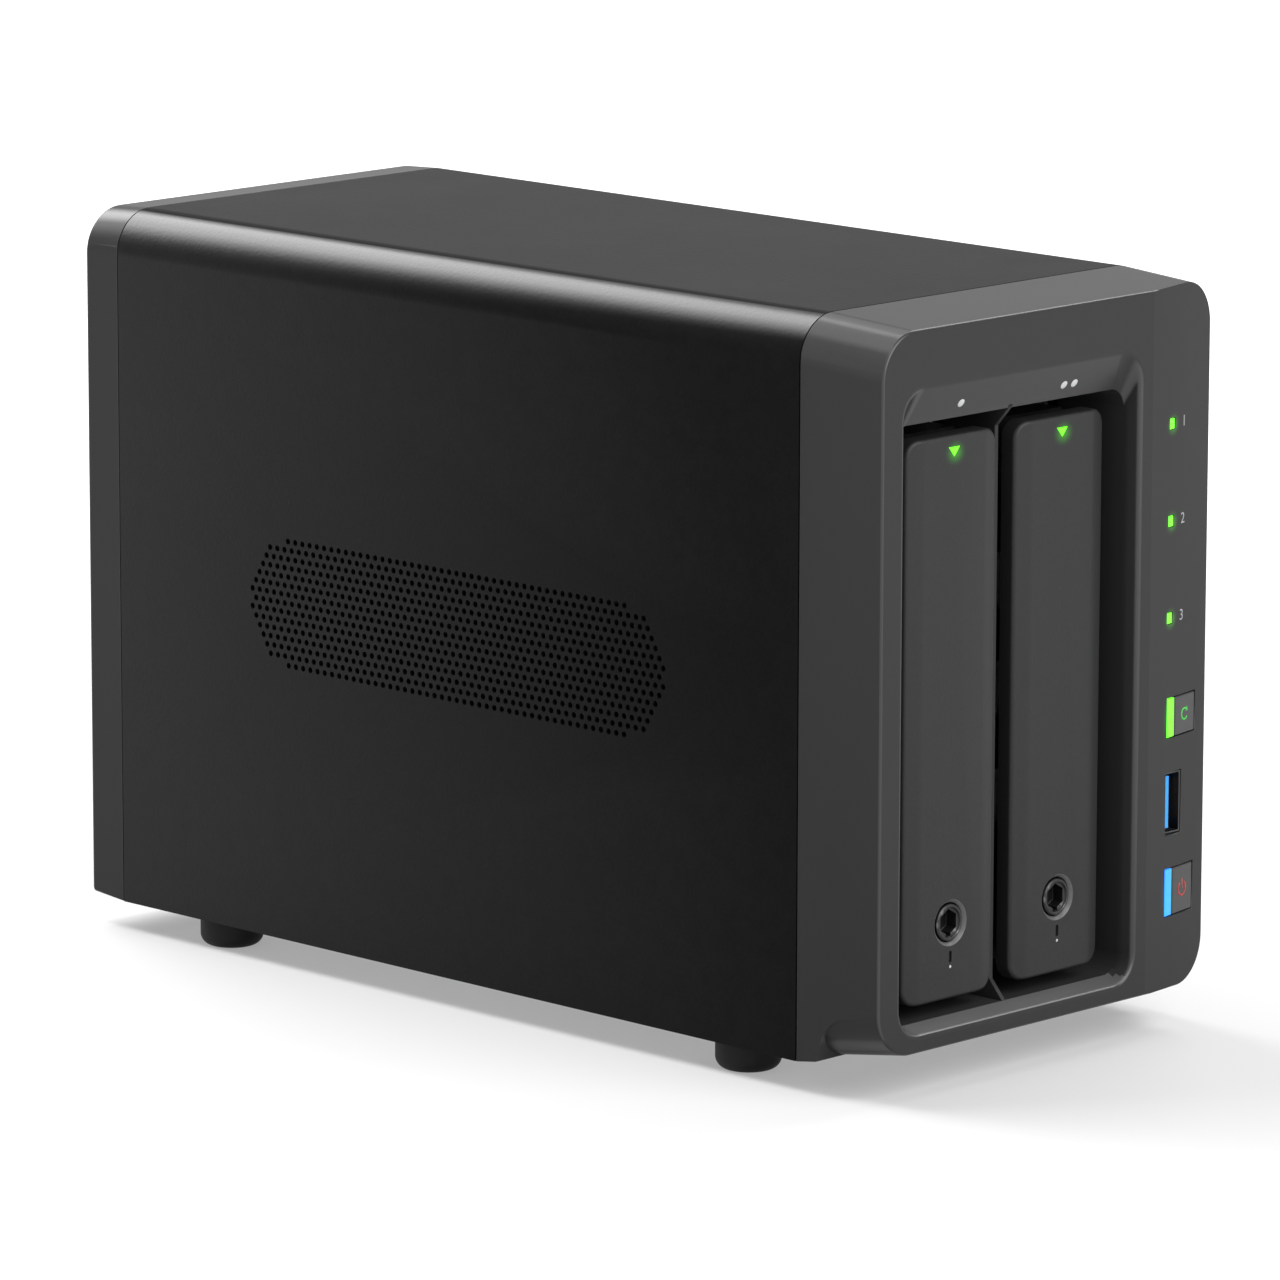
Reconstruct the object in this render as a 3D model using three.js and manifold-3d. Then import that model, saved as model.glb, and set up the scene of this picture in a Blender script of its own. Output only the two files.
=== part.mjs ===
// Two-bay desktop network attached storage, as an assembly of separate solids.
// Millimetres, +Z up. The origin is on the floor under the middle of the case.
// +X is to the right as seen from the front, and the front faces -Y.
import * as THREE from "three";
import { mergeVertices } from "three/addons/utils/BufferGeometryUtils.js";
import Module from "manifold-3d";

const wasm = await Module();
wasm.setup();

// ---------- driving sizes ----------
const WIDTH = 103.5;
const DEPTH = 232;
const HEIGHT = 157;
const GAP = 0.3; // clearance between pieces that touch
const CURVE = 5; // straight steps in a corner's quarter turn
const ROUND = 24; // straight steps round a large circle
const SMALL_ROUND = 12; // and round a small one
const SMALL_RADIUS = 6;

const FOOT_HEIGHT = 6.45;
const FOOT_RADIUS = 6.8;
const FOOT_ROUND = 2.6;
const FOOT_EDGE = 8.35; // foot's centre from the side of the case
const FRONT_FOOT_INSET = 42.8; // foot's centre from the front plane
const REAR_FOOT_INSET = 35.7;
const PEG_RADIUS = 2.2;

const COVER_WALL = 1.2;
const CORNER_RADIUS = 9.56;
const PAN_THICKNESS = 1.6;
const PAN_FLANGE = 9;

const FRONT_BEZEL_DEPTH = 21.84;
const REAR_BEZEL_DEPTH = 10.31;
const BEZEL_WALL = 2.2;
const RIM_LENGTH = 3.2; // how far a bezel's rim reaches into the cover
const RIM_WALL = 1.4;
const FRONT_SIDE_DRAW = 0.6; // how far the front bezel draws in at its front
const FRONT_TOP_DRAW = 1.41;
const FRONT_BOTTOM_DRAW = 3.35;
const REAR_TOP_DRAW = 0.5;
const REAR_BOTTOM_DRAW = 0.7;
const SCOOP_LENGTH = 9.5; // elliptical scoop in the front bezel's bottom corners
const SCOOP_HEIGHT = 11;
const SCOOP_FROM_FRONT = 7;

const DRIVE_LENGTH = 147;
const DRIVE_WIDTH = 101.6;
const DRIVE_THICKNESS = 26.1;
const TRAY_SPACING = 6; // between two drives side by side
const FACE_OVER_SIDE = 0.3; // how far a tray face stands past the drive at each side
const FACE_OVER_END = 6.525; // and above and below it
const FACE_CORNER = 3.5;
const FACE_THICKNESS = 4.6;
const FACET_WIDTH = 4.65; // slanted band down each side of a tray face
const FACET_SETBACK = 1;
const BAY_BORDER = 7.63; // side of the case to the bay opening
const BAY_FLOOR = 8.3; // bottom of the case to the bay opening
const BAY_SIDE_GAP = 5; // beside a tray face
const BAY_BOTTOM_GAP = 3.1;
const BAY_TOP_GAP = 3.5;
const RECESS_DEPTH = 4;
const RECESS_TOP_SLOPE = 8.2; // how far the recess opens out at its top
const RECESS_BOTTOM_SLOPE = 1.65;
const RECESS_SIDE_SLOPE = 0.58;
const RECESS_CORNER = 5;
const RECESS_BORDER = 3.8; // flat band between the recess and the sloping strip
const FIN_WIDTH = 1;
const FIN_SLANT = 4;

const STRIP_ANGLE = THREE.MathUtils.degToRad(10.48);
const STRIP_WALL = 2.4;

const HINGE_PIN_RADIUS = 1.2;
const HINGE_BELOW_TOP = 8;
const HINGE_BEHIND_FACE = 7.6;
const LOCK_RADIUS = 3.8;
const LOCK_ABOVE_BOTTOM = 15.65;
const LOCK_CHAMFER = 0.75;
const LOCK_SOCKET = 4.7;
const TRAY_WALL = 1;
const TRAY_SIDE_GAP = 1.85; // from a tray to the middle of the divider
const TRAY_BEHIND_HINGE = 5.2;
const RUNNER_HEIGHT = 4.7;
const DRIVE_BEHIND_TRAY_FRONT = 2.6;
const DRIVE_PAST_RUNNERS = 1;
const BACKPLANE_BEHIND_DRIVE = 6.5;
const BOARD_FROM_CREASE = 5.5;
const BOARD_BEHIND_CAGE_FRONT = 2;
const BOARD_PAST_BACKPLANE = 8;
const REAR_BOARD_RISE = 5.6; // above the base pan

const SHEET = 1.2; // cage sheet
const BOARD = 1.6; // circuit board
const PANEL_THICKNESS = 1.6;
const PANEL_INSET = 7.4; // rear panel's outer face from the rear plane
const LIP_INSET = 5.25; // rear bezel's opening from the side of the case

const FAN_SIZE = 92;
const FAN_DEPTH = 25;
const FAN_WALL = 1.4; // between the fan's bore and its flat sides
const FAN_HOLE_INSET = 4.75;
const FAN_HUB = 17;
const FAN_BLADES = 7;
const FAN_BELOW_TOP = 7;

const SCREW_RADIUS = 1.8;
const SCREW_HEAD = 3.2;
const SCREW_HEAD_HEIGHT = 1.8;

// ---------- planes and places worked out from them ----------
const side = WIDTH / 2;
const front = -DEPTH / 2;
const rear = DEPTH / 2;
const bottom = FOOT_HEIGHT;
const top = HEIGHT;
const frontJoin = front + FRONT_BEZEL_DEPTH;
const rearJoin = rear - REAR_BEZEL_DEPTH;

const trayPitch = DRIVE_THICKNESS + TRAY_SPACING;
const faceWidth = DRIVE_THICKNESS + 2 * FACE_OVER_SIDE;
const faceHeight = DRIVE_WIDTH + 2 * FACE_OVER_END;
const facePlane = front + RECESS_DEPTH;
const bay = { x0: -side + BAY_BORDER, z0: bottom + BAY_FLOOR };
bay.x1 = bay.x0 + trayPitch + faceWidth + 2 * BAY_SIDE_GAP;
bay.z1 = bay.z0 + BAY_BOTTOM_GAP + faceHeight + BAY_TOP_GAP;
const bayMiddle = (bay.x0 + bay.x1) / 2;
const trayCentres = [bayMiddle - trayPitch / 2, bayMiddle + trayPitch / 2];
const faceBottom = bay.z0 + BAY_BOTTOM_GAP;
const faceTop = faceBottom + faceHeight;
const crease = bay.x1 + RECESS_SIDE_SLOPE + RECESS_BORDER;
const stripLength = (side - FRONT_SIDE_DRAW - crease) / Math.cos(STRIP_ANGLE);

const hinge = { y: facePlane + HINGE_BEHIND_FACE, z: faceTop - HINGE_BELOW_TOP };
const lockHeight = faceBottom + LOCK_ABOVE_BOTTOM;
const trayFront = hinge.y + TRAY_BEHIND_HINGE;
const trayHalf = trayPitch / 2 - TRAY_SIDE_GAP;
const driveFront = trayFront + DRIVE_BEHIND_TRAY_FRONT;
const driveRear = driveFront + DRIVE_LENGTH;
const driveBottom = faceBottom + (faceHeight - DRIVE_WIDTH) / 2;
const runnerBottom = driveBottom - GAP - RUNNER_HEIGHT;
const runnerTop = driveBottom + DRIVE_WIDTH + GAP + RUNNER_HEIGHT;
const trayRear = driveRear - DRIVE_PAST_RUNNERS;

const coverInside = side - COVER_WALL;
const panBottom = bottom + GAP;
const panTop = panBottom + PAN_THICKNESS;
const cageFront = frontJoin + RIM_LENGTH + GAP;
const backplaneFront = driveRear + BACKPLANE_BEHIND_DRIVE;
const boardX = crease + BOARD_FROM_CREASE; // the mainboard's left face
const boardSide = boardX + BOARD; // and its component side
const boardFront = cageFront + BOARD_BEHIND_CAGE_FRONT;
const boardRear = backplaneFront + BOARD_PAST_BACKPLANE;
const panelOuter = rear - PANEL_INSET;
const panelInner = panelOuter - PANEL_THICKNESS;
const rearBoardBottom = panTop + REAR_BOARD_RISE;
const rearBoardTop = rearBoardBottom + BOARD;
const rearBoardFront = boardRear + 2;
const fanMiddle = top - FAN_BELOW_TOP - FAN_SIZE / 2;
const fanBore = FAN_SIZE / 2 - FAN_WALL;
const fanHole = FAN_SIZE / 2 - FAN_HOLE_INSET; // its screws, from the fan's middle
const fanRear = panelInner - 2 * GAP;
const fanFront = fanRear - FAN_DEPTH;

// ---------- materials ----------
const finish = (color, roughness, metalness = 0) =>
  new THREE.MeshStandardMaterial({ color, roughness, metalness });
const shellPaint = finish(0x1f201f, 0.55, 0.3);
const bezelPaint = finish(0x303131, 0.4, 0.1);
const trayPlastic = finish(0x2b2c2b, 0.55);
const blackPlastic = finish(0x0c0c0c, 0.5);
const rubber = finish(0x050505, 0.8);
const zinc = finish(0x9a9da0, 0.4, 0.9);
const steel = finish(0xb9bcc0, 0.3, 1);
const blackSteel = finish(0x101011, 0.35, 0.8);
const castAluminium = finish(0xa8abad, 0.45, 0.9);
const boardGreen = finish(0x12442a, 0.5);
const greenLight = finish(0x45ff10, 0.3);
const blueLight = finish(0x1f8dff, 0.3);
const bluePlastic = finish(0x1b66c9, 0.4);
const batterySteel = finish(0xc8c9cb, 0.25, 1);

// ---------- solids ----------
function solid(geometry) {
  const bare = geometry.clone();
  bare.deleteAttribute("normal");
  bare.deleteAttribute("uv");
  const merged = mergeVertices(bare, 1e-4);
  const triVerts = new Uint32Array(merged.index.array);
  const vertProperties = merged.attributes.position.array;
  return new wasm.Manifold(new wasm.Mesh({ numProp: 3, vertProperties, triVerts }));
}

function piece(name, made, material) {
  const cut = made.getMesh();
  const geometry = new THREE.BufferGeometry();
  geometry.setAttribute("position", new THREE.BufferAttribute(cut.vertProperties, 3));
  geometry.setIndex(new THREE.BufferAttribute(cut.triVerts, 1));
  geometry.computeVertexNormals();
  const mesh = new THREE.Mesh(geometry, material);
  mesh.name = name;
  return mesh;
}

const joined = (...solids) => solids.reduce((whole, next) => whole.add(next));
const without = (body, ...cuts) => cuts.reduce((whole, cut) => whole.subtract(cut), body);

function block(x0, x1, y0, y1, z0, z1) {
  const geometry = new THREE.BoxGeometry(x1 - x0, y1 - y0, z1 - z0);
  return solid(geometry.translate((x0 + x1) / 2, (y0 + y1) / 2, (z0 + z1) / 2));
}

// An outline drawn in (x, z), carried along Y from yBack forwards to yFront.
function alongY(shape, yBack, yFront) {
  const options = { depth: yBack - yFront, bevelEnabled: false, curveSegments: CURVE };
  const geometry = new THREE.ExtrudeGeometry(shape, options);
  return geometry.rotateX(Math.PI / 2).translate(0, yBack, 0);
}

// An outline drawn in (y, z), carried along X.
function alongX(shape, x0, x1) {
  const options = { depth: x1 - x0, bevelEnabled: false, curveSegments: CURVE };
  const geometry = new THREE.ExtrudeGeometry(shape, options);
  const turn = new THREE.Matrix4().makeBasis(
    new THREE.Vector3(0, 1, 0),
    new THREE.Vector3(0, 0, 1),
    new THREE.Vector3(1, 0, 0),
  );
  return geometry.applyMatrix4(turn).translate(x0, 0, 0);
}

// An outline drawn in (x, y), carried up Z.
function alongZ(shape, z0, z1) {
  const options = { depth: z1 - z0, bevelEnabled: false, curveSegments: CURVE };
  return new THREE.ExtrudeGeometry(shape, options).translate(0, 0, z0);
}

function polygon(points) {
  return new THREE.Shape(points.map(([u, v]) => new THREE.Vector2(u, v)));
}

// A rectangle with its own radius at the bottom and at the top corners.
function roundedRect({ x0, x1, z0, z1 }, low, high = low) {
  const shape = new THREE.Shape();
  shape.moveTo(x0 + low, z0);
  shape.lineTo(x1 - low, z0);
  if (low > 0) shape.absarc(x1 - low, z0 + low, low, -Math.PI / 2, 0);
  shape.lineTo(x1, z1 - high);
  if (high > 0) shape.absarc(x1 - high, z1 - high, high, 0, Math.PI / 2);
  shape.lineTo(x0 + high, z1);
  if (high > 0) shape.absarc(x0 + high, z1 - high, high, Math.PI / 2, Math.PI);
  shape.lineTo(x0, z0 + low);
  if (low > 0) shape.absarc(x0 + low, z0 + low, low, Math.PI, Math.PI * 1.5);
  return shape;
}

const sidesOf = (radius) => (radius < SMALL_RADIUS ? SMALL_ROUND : ROUND);

function circle(u, v, radius, Kind = THREE.Shape) {
  const sides = sidesOf(radius);
  const points = [];
  for (let step = 0; step < sides; step++) {
    const turn = (step / sides) * 2 * Math.PI;
    points.push(new THREE.Vector2(u + radius * Math.cos(turn), v + radius * Math.sin(turn)));
  }
  return new Kind(points);
}

const grown = (rect, by) => ({
  x0: rect.x0 - by,
  x1: rect.x1 + by,
  z0: rect.z0 - by,
  z1: rect.z1 + by,
});

const mixed = (a, b, t) => ({
  x0: a.x0 + (b.x0 - a.x0) * t,
  x1: a.x1 + (b.x1 - a.x1) * t,
  z0: a.z0 + (b.z0 - a.z0) * t,
  z1: a.z1 + (b.z1 - a.z1) * t,
});

// A prism along Y whose outline stretches from one rectangle to another.
function drawnPrism(rectA, yA, rectB, yB, low, high = low) {
  const geometry = alongY(roundedRect(rectA, low, high), Math.max(yA, yB), Math.min(yA, yB));
  const position = geometry.attributes.position;
  for (let i = 0; i < position.count; i++) {
    const now = mixed(rectA, rectB, (position.getY(i) - yA) / (yB - yA));
    const u = (position.getX(i) - rectA.x0) / (rectA.x1 - rectA.x0);
    const w = (position.getZ(i) - rectA.z0) / (rectA.z1 - rectA.z0);
    position.setX(i, now.x0 + u * (now.x1 - now.x0));
    position.setZ(i, now.z0 + w * (now.z1 - now.z0));
  }
  return solid(geometry);
}

const prism = (rect, yBack, yFront, low, high) =>
  solid(alongY(roundedRect(rect, low, high), yBack, yFront));
const rodY = (x, z, radius, yBack, yFront) => solid(alongY(circle(x, z, radius), yBack, yFront));
const rodX = (y, z, radius, x0, x1) => solid(alongX(circle(y, z, radius), x0, x1));
const rodZ = (x, y, radius, z0, z1) => solid(alongZ(circle(x, y, radius), z0, z1));

// A turned solid about a line parallel to Y, from [radius, y] points.
function turnedY(x, z, profile) {
  const points = profile.map(([radius, y]) => new THREE.Vector2(radius, y));
  return solid(new THREE.LatheGeometry(points, SMALL_ROUND).translate(x, 0, z));
}

// ---------- case ----------
const caseRect = { x0: -side, x1: side, z0: bottom, z1: top };
const frontRect = {
  x0: -side + FRONT_SIDE_DRAW,
  x1: side - FRONT_SIDE_DRAW,
  z0: bottom + FRONT_BOTTOM_DRAW,
  z1: top - FRONT_TOP_DRAW,
};
const rearRect = { ...caseRect, z0: bottom + REAR_BOTTOM_DRAW, z1: top - REAR_TOP_DRAW };
const coverHollow = { ...grown(caseRect, -COVER_WALL), z0: bottom };
const rimRect = { ...grown(caseRect, -COVER_WALL - GAP), z0: bottom + GAP };
const rimRadius = CORNER_RADIUS - COVER_WALL - GAP;

function makeOuterCover() {
  const outer = prism(caseRect, rearJoin - GAP / 2, frontJoin + GAP / 2, 0, CORNER_RADIUS);
  const hollow = { ...coverHollow, z0: bottom - 5 };
  const inner = prism(hollow, rearJoin + 5, frontJoin - 5, 0, CORNER_RADIUS - COVER_WALL);
  return piece("outer_cover", without(outer, inner), shellPaint);
}

function makeBasePan() {
  const y0 = frontJoin + RIM_LENGTH + GAP;
  const y1 = rearJoin - RIM_LENGTH - GAP;
  const half = coverInside - GAP;
  const plate = block(-half, half, y0, y1, panBottom, panTop);
  const flanges = [-1, 1].map((hand) => {
    const inner = hand * (half - SHEET);
    const outer = hand * half;
    const [x0, x1] = [Math.min(inner, outer), Math.max(inner, outer)];
    return block(x0, x1, y0, y1, panBottom, panTop + PAN_FLANGE);
  });
  const posts = [-1, 1].flatMap((hand) =>
    [rearBoardFront + 6, y1 - 6].map((y) =>
      rodZ(hand * (side - 14), y, 3, panBottom, rearBoardBottom - GAP),
    ),
  );
  const pegHoles = feet.map(({ x, y }) =>
    rodZ(x, y, PEG_RADIUS + GAP, panBottom - 1, panTop + 1),
  );
  const slots = [];
  const slotRows = 6;
  for (let row = 0; row < slotRows; row++) {
    const y = y0 + 32 + (row * (y1 - y0 - 90)) / (slotRows - 1);
    for (const x of [-22, 22]) slots.push(block(x - 13, x + 13, y - 1.4, y + 1.4, 0, panTop + 1));
  }
  const pan = joined(plate, ...flanges, ...posts);
  return piece("base_pan", without(pan, ...pegHoles, ...slots), zinc);
}

const footPlaces = [
  ["foot_front_left", -1, front + FRONT_FOOT_INSET],
  ["foot_front_right", 1, front + FRONT_FOOT_INSET],
  ["foot_rear_left", -1, rear - REAR_FOOT_INSET],
  ["foot_rear_right", 1, rear - REAR_FOOT_INSET],
];
const feet = footPlaces.map(([name, hand, y]) => ({ name, x: hand * (side - FOOT_EDGE), y }));

function makeFoot({ name, x, y }) {
  const profile = [new THREE.Vector2(0, 0)];
  for (let step = 0; step <= 4; step++) {
    const turn = (step / 4) * (Math.PI / 2);
    const out = FOOT_RADIUS - FOOT_ROUND * (1 - Math.sin(turn));
    profile.push(new THREE.Vector2(out, FOOT_ROUND * (1 - Math.cos(turn))));
  }
  profile.push(new THREE.Vector2(FOOT_RADIUS, FOOT_HEIGHT));
  profile.push(new THREE.Vector2(PEG_RADIUS, FOOT_HEIGHT));
  profile.push(new THREE.Vector2(PEG_RADIUS, panTop));
  profile.push(new THREE.Vector2(0, panTop));
  const made = solid(new THREE.LatheGeometry(profile, ROUND - 4).rotateX(Math.PI / 2));
  const foot = piece(name, made, rubber);
  foot.position.set(x, y, 0);
  return foot;
}

// ---------- front strip ----------
// Places on the sloping strip are (s, depth, z): s from the crease towards the right,
// depth into the case.
const strip = new THREE.Group();
strip.position.set(crease, front, 0);
strip.rotation.z = STRIP_ANGLE;
strip.updateMatrix();

function onStrip(made) {
  const { elements } = strip.matrix;
  return made.transform(Array.from(elements));
}

const INDICATOR = { s: 8.1, width: 1.8, height: 2.1 };
const indicators = [
  { name: "status_light", z: top - 29.7 },
  { name: "link_light_1", z: top - 49.8 },
  { name: "link_light_2", z: top - 69.9 },
];
const BUTTON_TRAVEL = 1.2;
const LIGHT_BAR_WIDTH = 2.8;
const buttonSpan = { s0: 7.7, s1: 18.5 };
const buttons = [
  {
    name: "copy_button",
    bar: "copy_light_bar",
    ...buttonSpan,
    z0: bottom + 55.75,
    z1: bottom + 63.85,
    glow: greenLight,
  },
  {
    name: "power_button",
    bar: "power_light_bar",
    ...buttonSpan,
    z0: bottom + 18.25,
    z1: bottom + 28.05,
    glow: blueLight,
  },
];
const BUTTON_FLANGE = 0.9;
const frontBoardDepth = 7.6;
const pipeEnd = frontBoardDepth - GAP;
const USB_HEIGHT = 12.9; // the port stands upright
const USB_WIDTH = 5.8;
const USB_WALL = 0.5;
const USB_LENGTH = 16;
const usbX = boardSide + GAP + USB_WIDTH / 2;
const usbZ = bottom + 41.75;
const usbMouth = front + Math.tan(STRIP_ANGLE) * (usbX - USB_WIDTH / 2 - crease) + 1.2;

function makeIndicator({ name, z }) {
  const { s, width, height } = INDICATOR;
  const rod = block(s - width / 2, s + width / 2, 0.15, pipeEnd, z - height / 2, z + height / 2);
  return piece(name, rod, greenLight);
}

function makeButton({ name, bar, s0, s1, z0, z1, glow }) {
  const middleS = (s0 + LIGHT_BAR_WIDTH + s1) / 2;
  const middleZ = (z0 + z1) / 2;
  const cap = block(s0 + LIGHT_BAR_WIDTH + GAP, s1, 0, STRIP_WALL + 1.6, z0, z1);
  const flangeFrom = STRIP_WALL + GAP;
  const flange = block(
    s0 + LIGHT_BAR_WIDTH + GAP,
    s1 + BUTTON_FLANGE,
    flangeFrom,
    STRIP_WALL + 1.6,
    z0 - BUTTON_FLANGE,
    z1 + BUTTON_FLANGE,
  );
  const plungerEnd = frontBoardDepth - BUTTON_TRAVEL - GAP;
  const plunger = block(middleS - 1.5, middleS + 1.5, 3, plungerEnd, middleZ - 1.5, middleZ + 1.5);
  const lightBar = block(s0, s0 + LIGHT_BAR_WIDTH, 0, STRIP_WALL + 1.6, z0, z1);
  return [
    piece(name, joined(cap, flange, plunger), bezelPaint),
    piece(bar, lightBar, glow),
  ];
}

function makeFrontBoard() {
  const z0 = bottom + 13;
  const plate = block(1.2, 17.6, frontBoardDepth, frontBoardDepth + BOARD, z0, top - 22);
  const window = block(
    usbX - USB_WIDTH,
    usbX + USB_WIDTH,
    front,
    frontJoin,
    usbZ - USB_HEIGHT / 2 - 2,
    usbZ + USB_HEIGHT / 2 + 2,
  );
  return piece("front_board", without(onStrip(plate), window), boardGreen);
}

function makeFrontUsb() {
  const x0 = usbX - USB_WIDTH / 2;
  const x1 = usbX + USB_WIDTH / 2;
  const z0 = usbZ - USB_HEIGHT / 2;
  const z1 = usbZ + USB_HEIGHT / 2;
  const y1 = usbMouth + USB_LENGTH;
  const shell = without(
    block(x0, x1, usbMouth, y1, z0, z1),
    block(x0 + USB_WALL, x1 - USB_WALL, usbMouth - 1, y1 - 1.5, z0 + USB_WALL, z1 - USB_WALL),
  );
  const tongue = block(
    x0 + USB_WALL + GAP + 0.4,
    x0 + USB_WALL + GAP + 2.3,
    usbMouth + 0.8,
    y1 - 1.5 - GAP,
    z0 + USB_WALL + 0.5,
    z1 - USB_WALL - 0.5,
  );
  return [piece("front_usb_shell", shell, steel), piece("front_usb_tongue", tongue, bluePlastic)];
}

// ---------- front bezel ----------
function makeFrontBezel() {
  const back = frontJoin - GAP / 2;
  const body = drawnPrism(caseRect, back, frontRect, front, CORNER_RADIUS);

  // The bottom corners are square beside the cover and end at a scoop.
  const scoopY = front + SCOOP_FROM_FRONT;
  const t = (scoopY - back) / (front - back);
  const scoopRect = mixed(caseRect, frontRect, t);
  const square = drawnPrism(caseRect, back, scoopRect, scoopY, 0, CORNER_RADIUS);
  const ellipse = new THREE.Shape();
  for (let quarter = 0; quarter < 4; quarter++) {
    const from = (quarter * Math.PI) / 2;
    ellipse.absellipse(scoopY, bottom, SCOOP_LENGTH, SCOOP_HEIGHT, from, from + Math.PI / 2);
  }
  const scoop = solid(alongX(ellipse, -side - 1, side + 1));
  const corners = [-1, 1].map((hand) => {
    const reach = [hand * (side + 1), hand * (side - CORNER_RADIUS)].sort((a, b) => a - b);
    const corner = block(reach[0], reach[1], scoopY - 1, back + 1, 0, bottom + SCOOP_HEIGHT + 1);
    return without(square.intersect(corner), scoop);
  });

  // The strip to the right of the crease slopes back.
  const beyond = side + 2;
  const slope = Math.tan(STRIP_ANGLE) * (beyond - crease);
  const wedge = polygon([
    [crease, front - 2],
    [crease, front],
    [beyond, front + slope],
    [beyond, front - 2],
  ].reverse());
  const slopeCut = solid(alongZ(wedge, 0, top + 1));

  // Recess, bay opening and the tunnel around the trays.
  const recessFront = {
    x0: bay.x0 - RECESS_SIDE_SLOPE,
    x1: bay.x1 + RECESS_SIDE_SLOPE,
    z0: bay.z0 - RECESS_BOTTOM_SLOPE,
    z1: bay.z1 + RECESS_TOP_SLOPE,
  };
  const overshoot = 1.25; // the cutter runs past the front plane
  const past = mixed(bay, recessFront, overshoot);
  const pastY = facePlane - overshoot * RECESS_DEPTH;
  const recess = drawnPrism(bay, facePlane, past, pastY, RECESS_CORNER - 1);
  const opening = prism(bay, back + 2, facePlane - 0.01, RECESS_CORNER - 1);
  const tunnel = prism(grown(bay, RIM_WALL), back, front + 5, RECESS_CORNER);

  const wallFront = front + 3 * BEZEL_WALL;
  const inset = grown(caseRect, -BEZEL_WALL);
  const wallRect = mixed(caseRect, frontRect, (wallFront - back) / (front - back));
  const insetFront = grown(wallRect, -BEZEL_WALL);
  const hollow = drawnPrism(inset, back + 0.001, insetFront, wallFront, CORNER_RADIUS - BEZEL_WALL);
  const backCut = prism(inset, back + 1, back - 0.5, CORNER_RADIUS - BEZEL_WALL);
  const stripHollow = block(
    1.2,
    stripLength - 2.6,
    STRIP_WALL,
    16,
    bottom + 10.5,
    top - 17,
  );
  const hollows = without(joined(hollow, backCut), tunnel);

  // Rim that seats inside the cover.
  const rimBack = frontJoin + RIM_LENGTH;
  const rim = without(
    prism(rimRect, rimBack, back - 1, 0, rimRadius),
    prism(grown(rimRect, -RIM_WALL), rimBack + 1, back - 2, 0, rimRadius - RIM_WALL),
  );

  // Fin between the two trays, with its ends slanting back from the recess.
  const finFront = facePlane - 0.5;
  const fin = solid(
    alongX(
      polygon([
        [finFront, bay.z0 - 0.5],
        [back, bay.z0 - 0.5],
        [back, bay.z1 + 0.5],
        [finFront, bay.z1 + 0.5],
        [finFront + FIN_SLANT, bay.z1 - FIN_SLANT],
        [finFront + FIN_SLANT, bay.z0 + FIN_SLANT],
      ]),
      bayMiddle - FIN_WIDTH / 2,
      bayMiddle + FIN_WIDTH / 2,
    ),
  );

  const windows = [
    ...indicators.map(({ z }) =>
      block(
        INDICATOR.s - INDICATOR.width / 2 - GAP,
        INDICATOR.s + INDICATOR.width / 2 + GAP,
        -3,
        STRIP_WALL + 3,
        z - INDICATOR.height / 2 - GAP,
        z + INDICATOR.height / 2 + GAP,
      ),
    ),
    ...buttons.map(({ s0, s1, z0, z1 }) =>
      block(s0 - GAP, s1 + GAP, -3, STRIP_WALL + 3, z0 - GAP, z1 + GAP),
    ),
  ].map(onStrip);
  const usbWindow = block(
    usbX - USB_WIDTH / 2 - GAP,
    usbX + USB_WIDTH / 2 + GAP,
    front - 1,
    usbMouth + 6,
    usbZ - USB_HEIGHT / 2 - GAP,
    usbZ + USB_HEIGHT / 2 + GAP,
  );

  const shell = without(
    joined(body, ...corners),
    slopeCut,
    hollows,
    onStrip(stripHollow),
    recess,
    opening,
    usbWindow,
    ...windows,
  );
  return piece("front_bezel", joined(shell, rim, fin), bezelPaint);
}

// ---------- rear bezel and panel ----------
const panelRect = { ...grown(caseRect, -LIP_INSET + 2.2), z0: bottom + LIP_INSET - 2.2 };
const lipRect = grown(caseRect, -LIP_INSET);
const coverScrews = [
  { name: "cover_screw_left", x: -(side - LIP_INSET - 3.6), z: bottom + 38.5 },
  { name: "cover_screw_right", x: side - LIP_INSET - 3.6, z: bottom + 38.5 },
];
const fanScrews = [-1, 1].flatMap((hand) =>
  [-1, 1].map((rise) => ({
    name: `fan_screw_${rise > 0 ? "upper" : "lower"}_${hand > 0 ? "right" : "left"}`,
    x: hand * fanHole,
    z: fanMiddle + rise * fanHole,
  })),
);
const screwHole = SCREW_RADIUS + GAP;

function makeRearBezel() {
  const back = rearJoin + GAP / 2;
  const body = drawnPrism(caseRect, back, rearRect, rear, 0, CORNER_RADIUS);
  const rim = prism(rimRect, back + 1, rearJoin - RIM_LENGTH, 0, rimRadius);
  const pocket = prism(grown(panelRect, GAP), panelOuter + GAP, rearJoin - RIM_LENGTH - 1, 4, 6);
  const lip = prism(lipRect, rear + 1, panelOuter, 4, 5);
  const tabs = coverScrews.map(({ x, z }) => {
    const edge = Math.sign(x) * (side - LIP_INSET + 1);
    const reach = [x - Math.sign(x) * 4, edge].sort((a, b) => a - b);
    const tab = block(reach[0], reach[1], panelOuter + GAP, panelOuter + 2.2, z - 4.5, z + 4.5);
    return without(tab, rodY(x, z, screwHole, rear, panelInner));
  });
  return piece("rear_bezel", joined(without(joined(body, rim), pocket, lip), ...tabs), bezelPaint);
}

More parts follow.
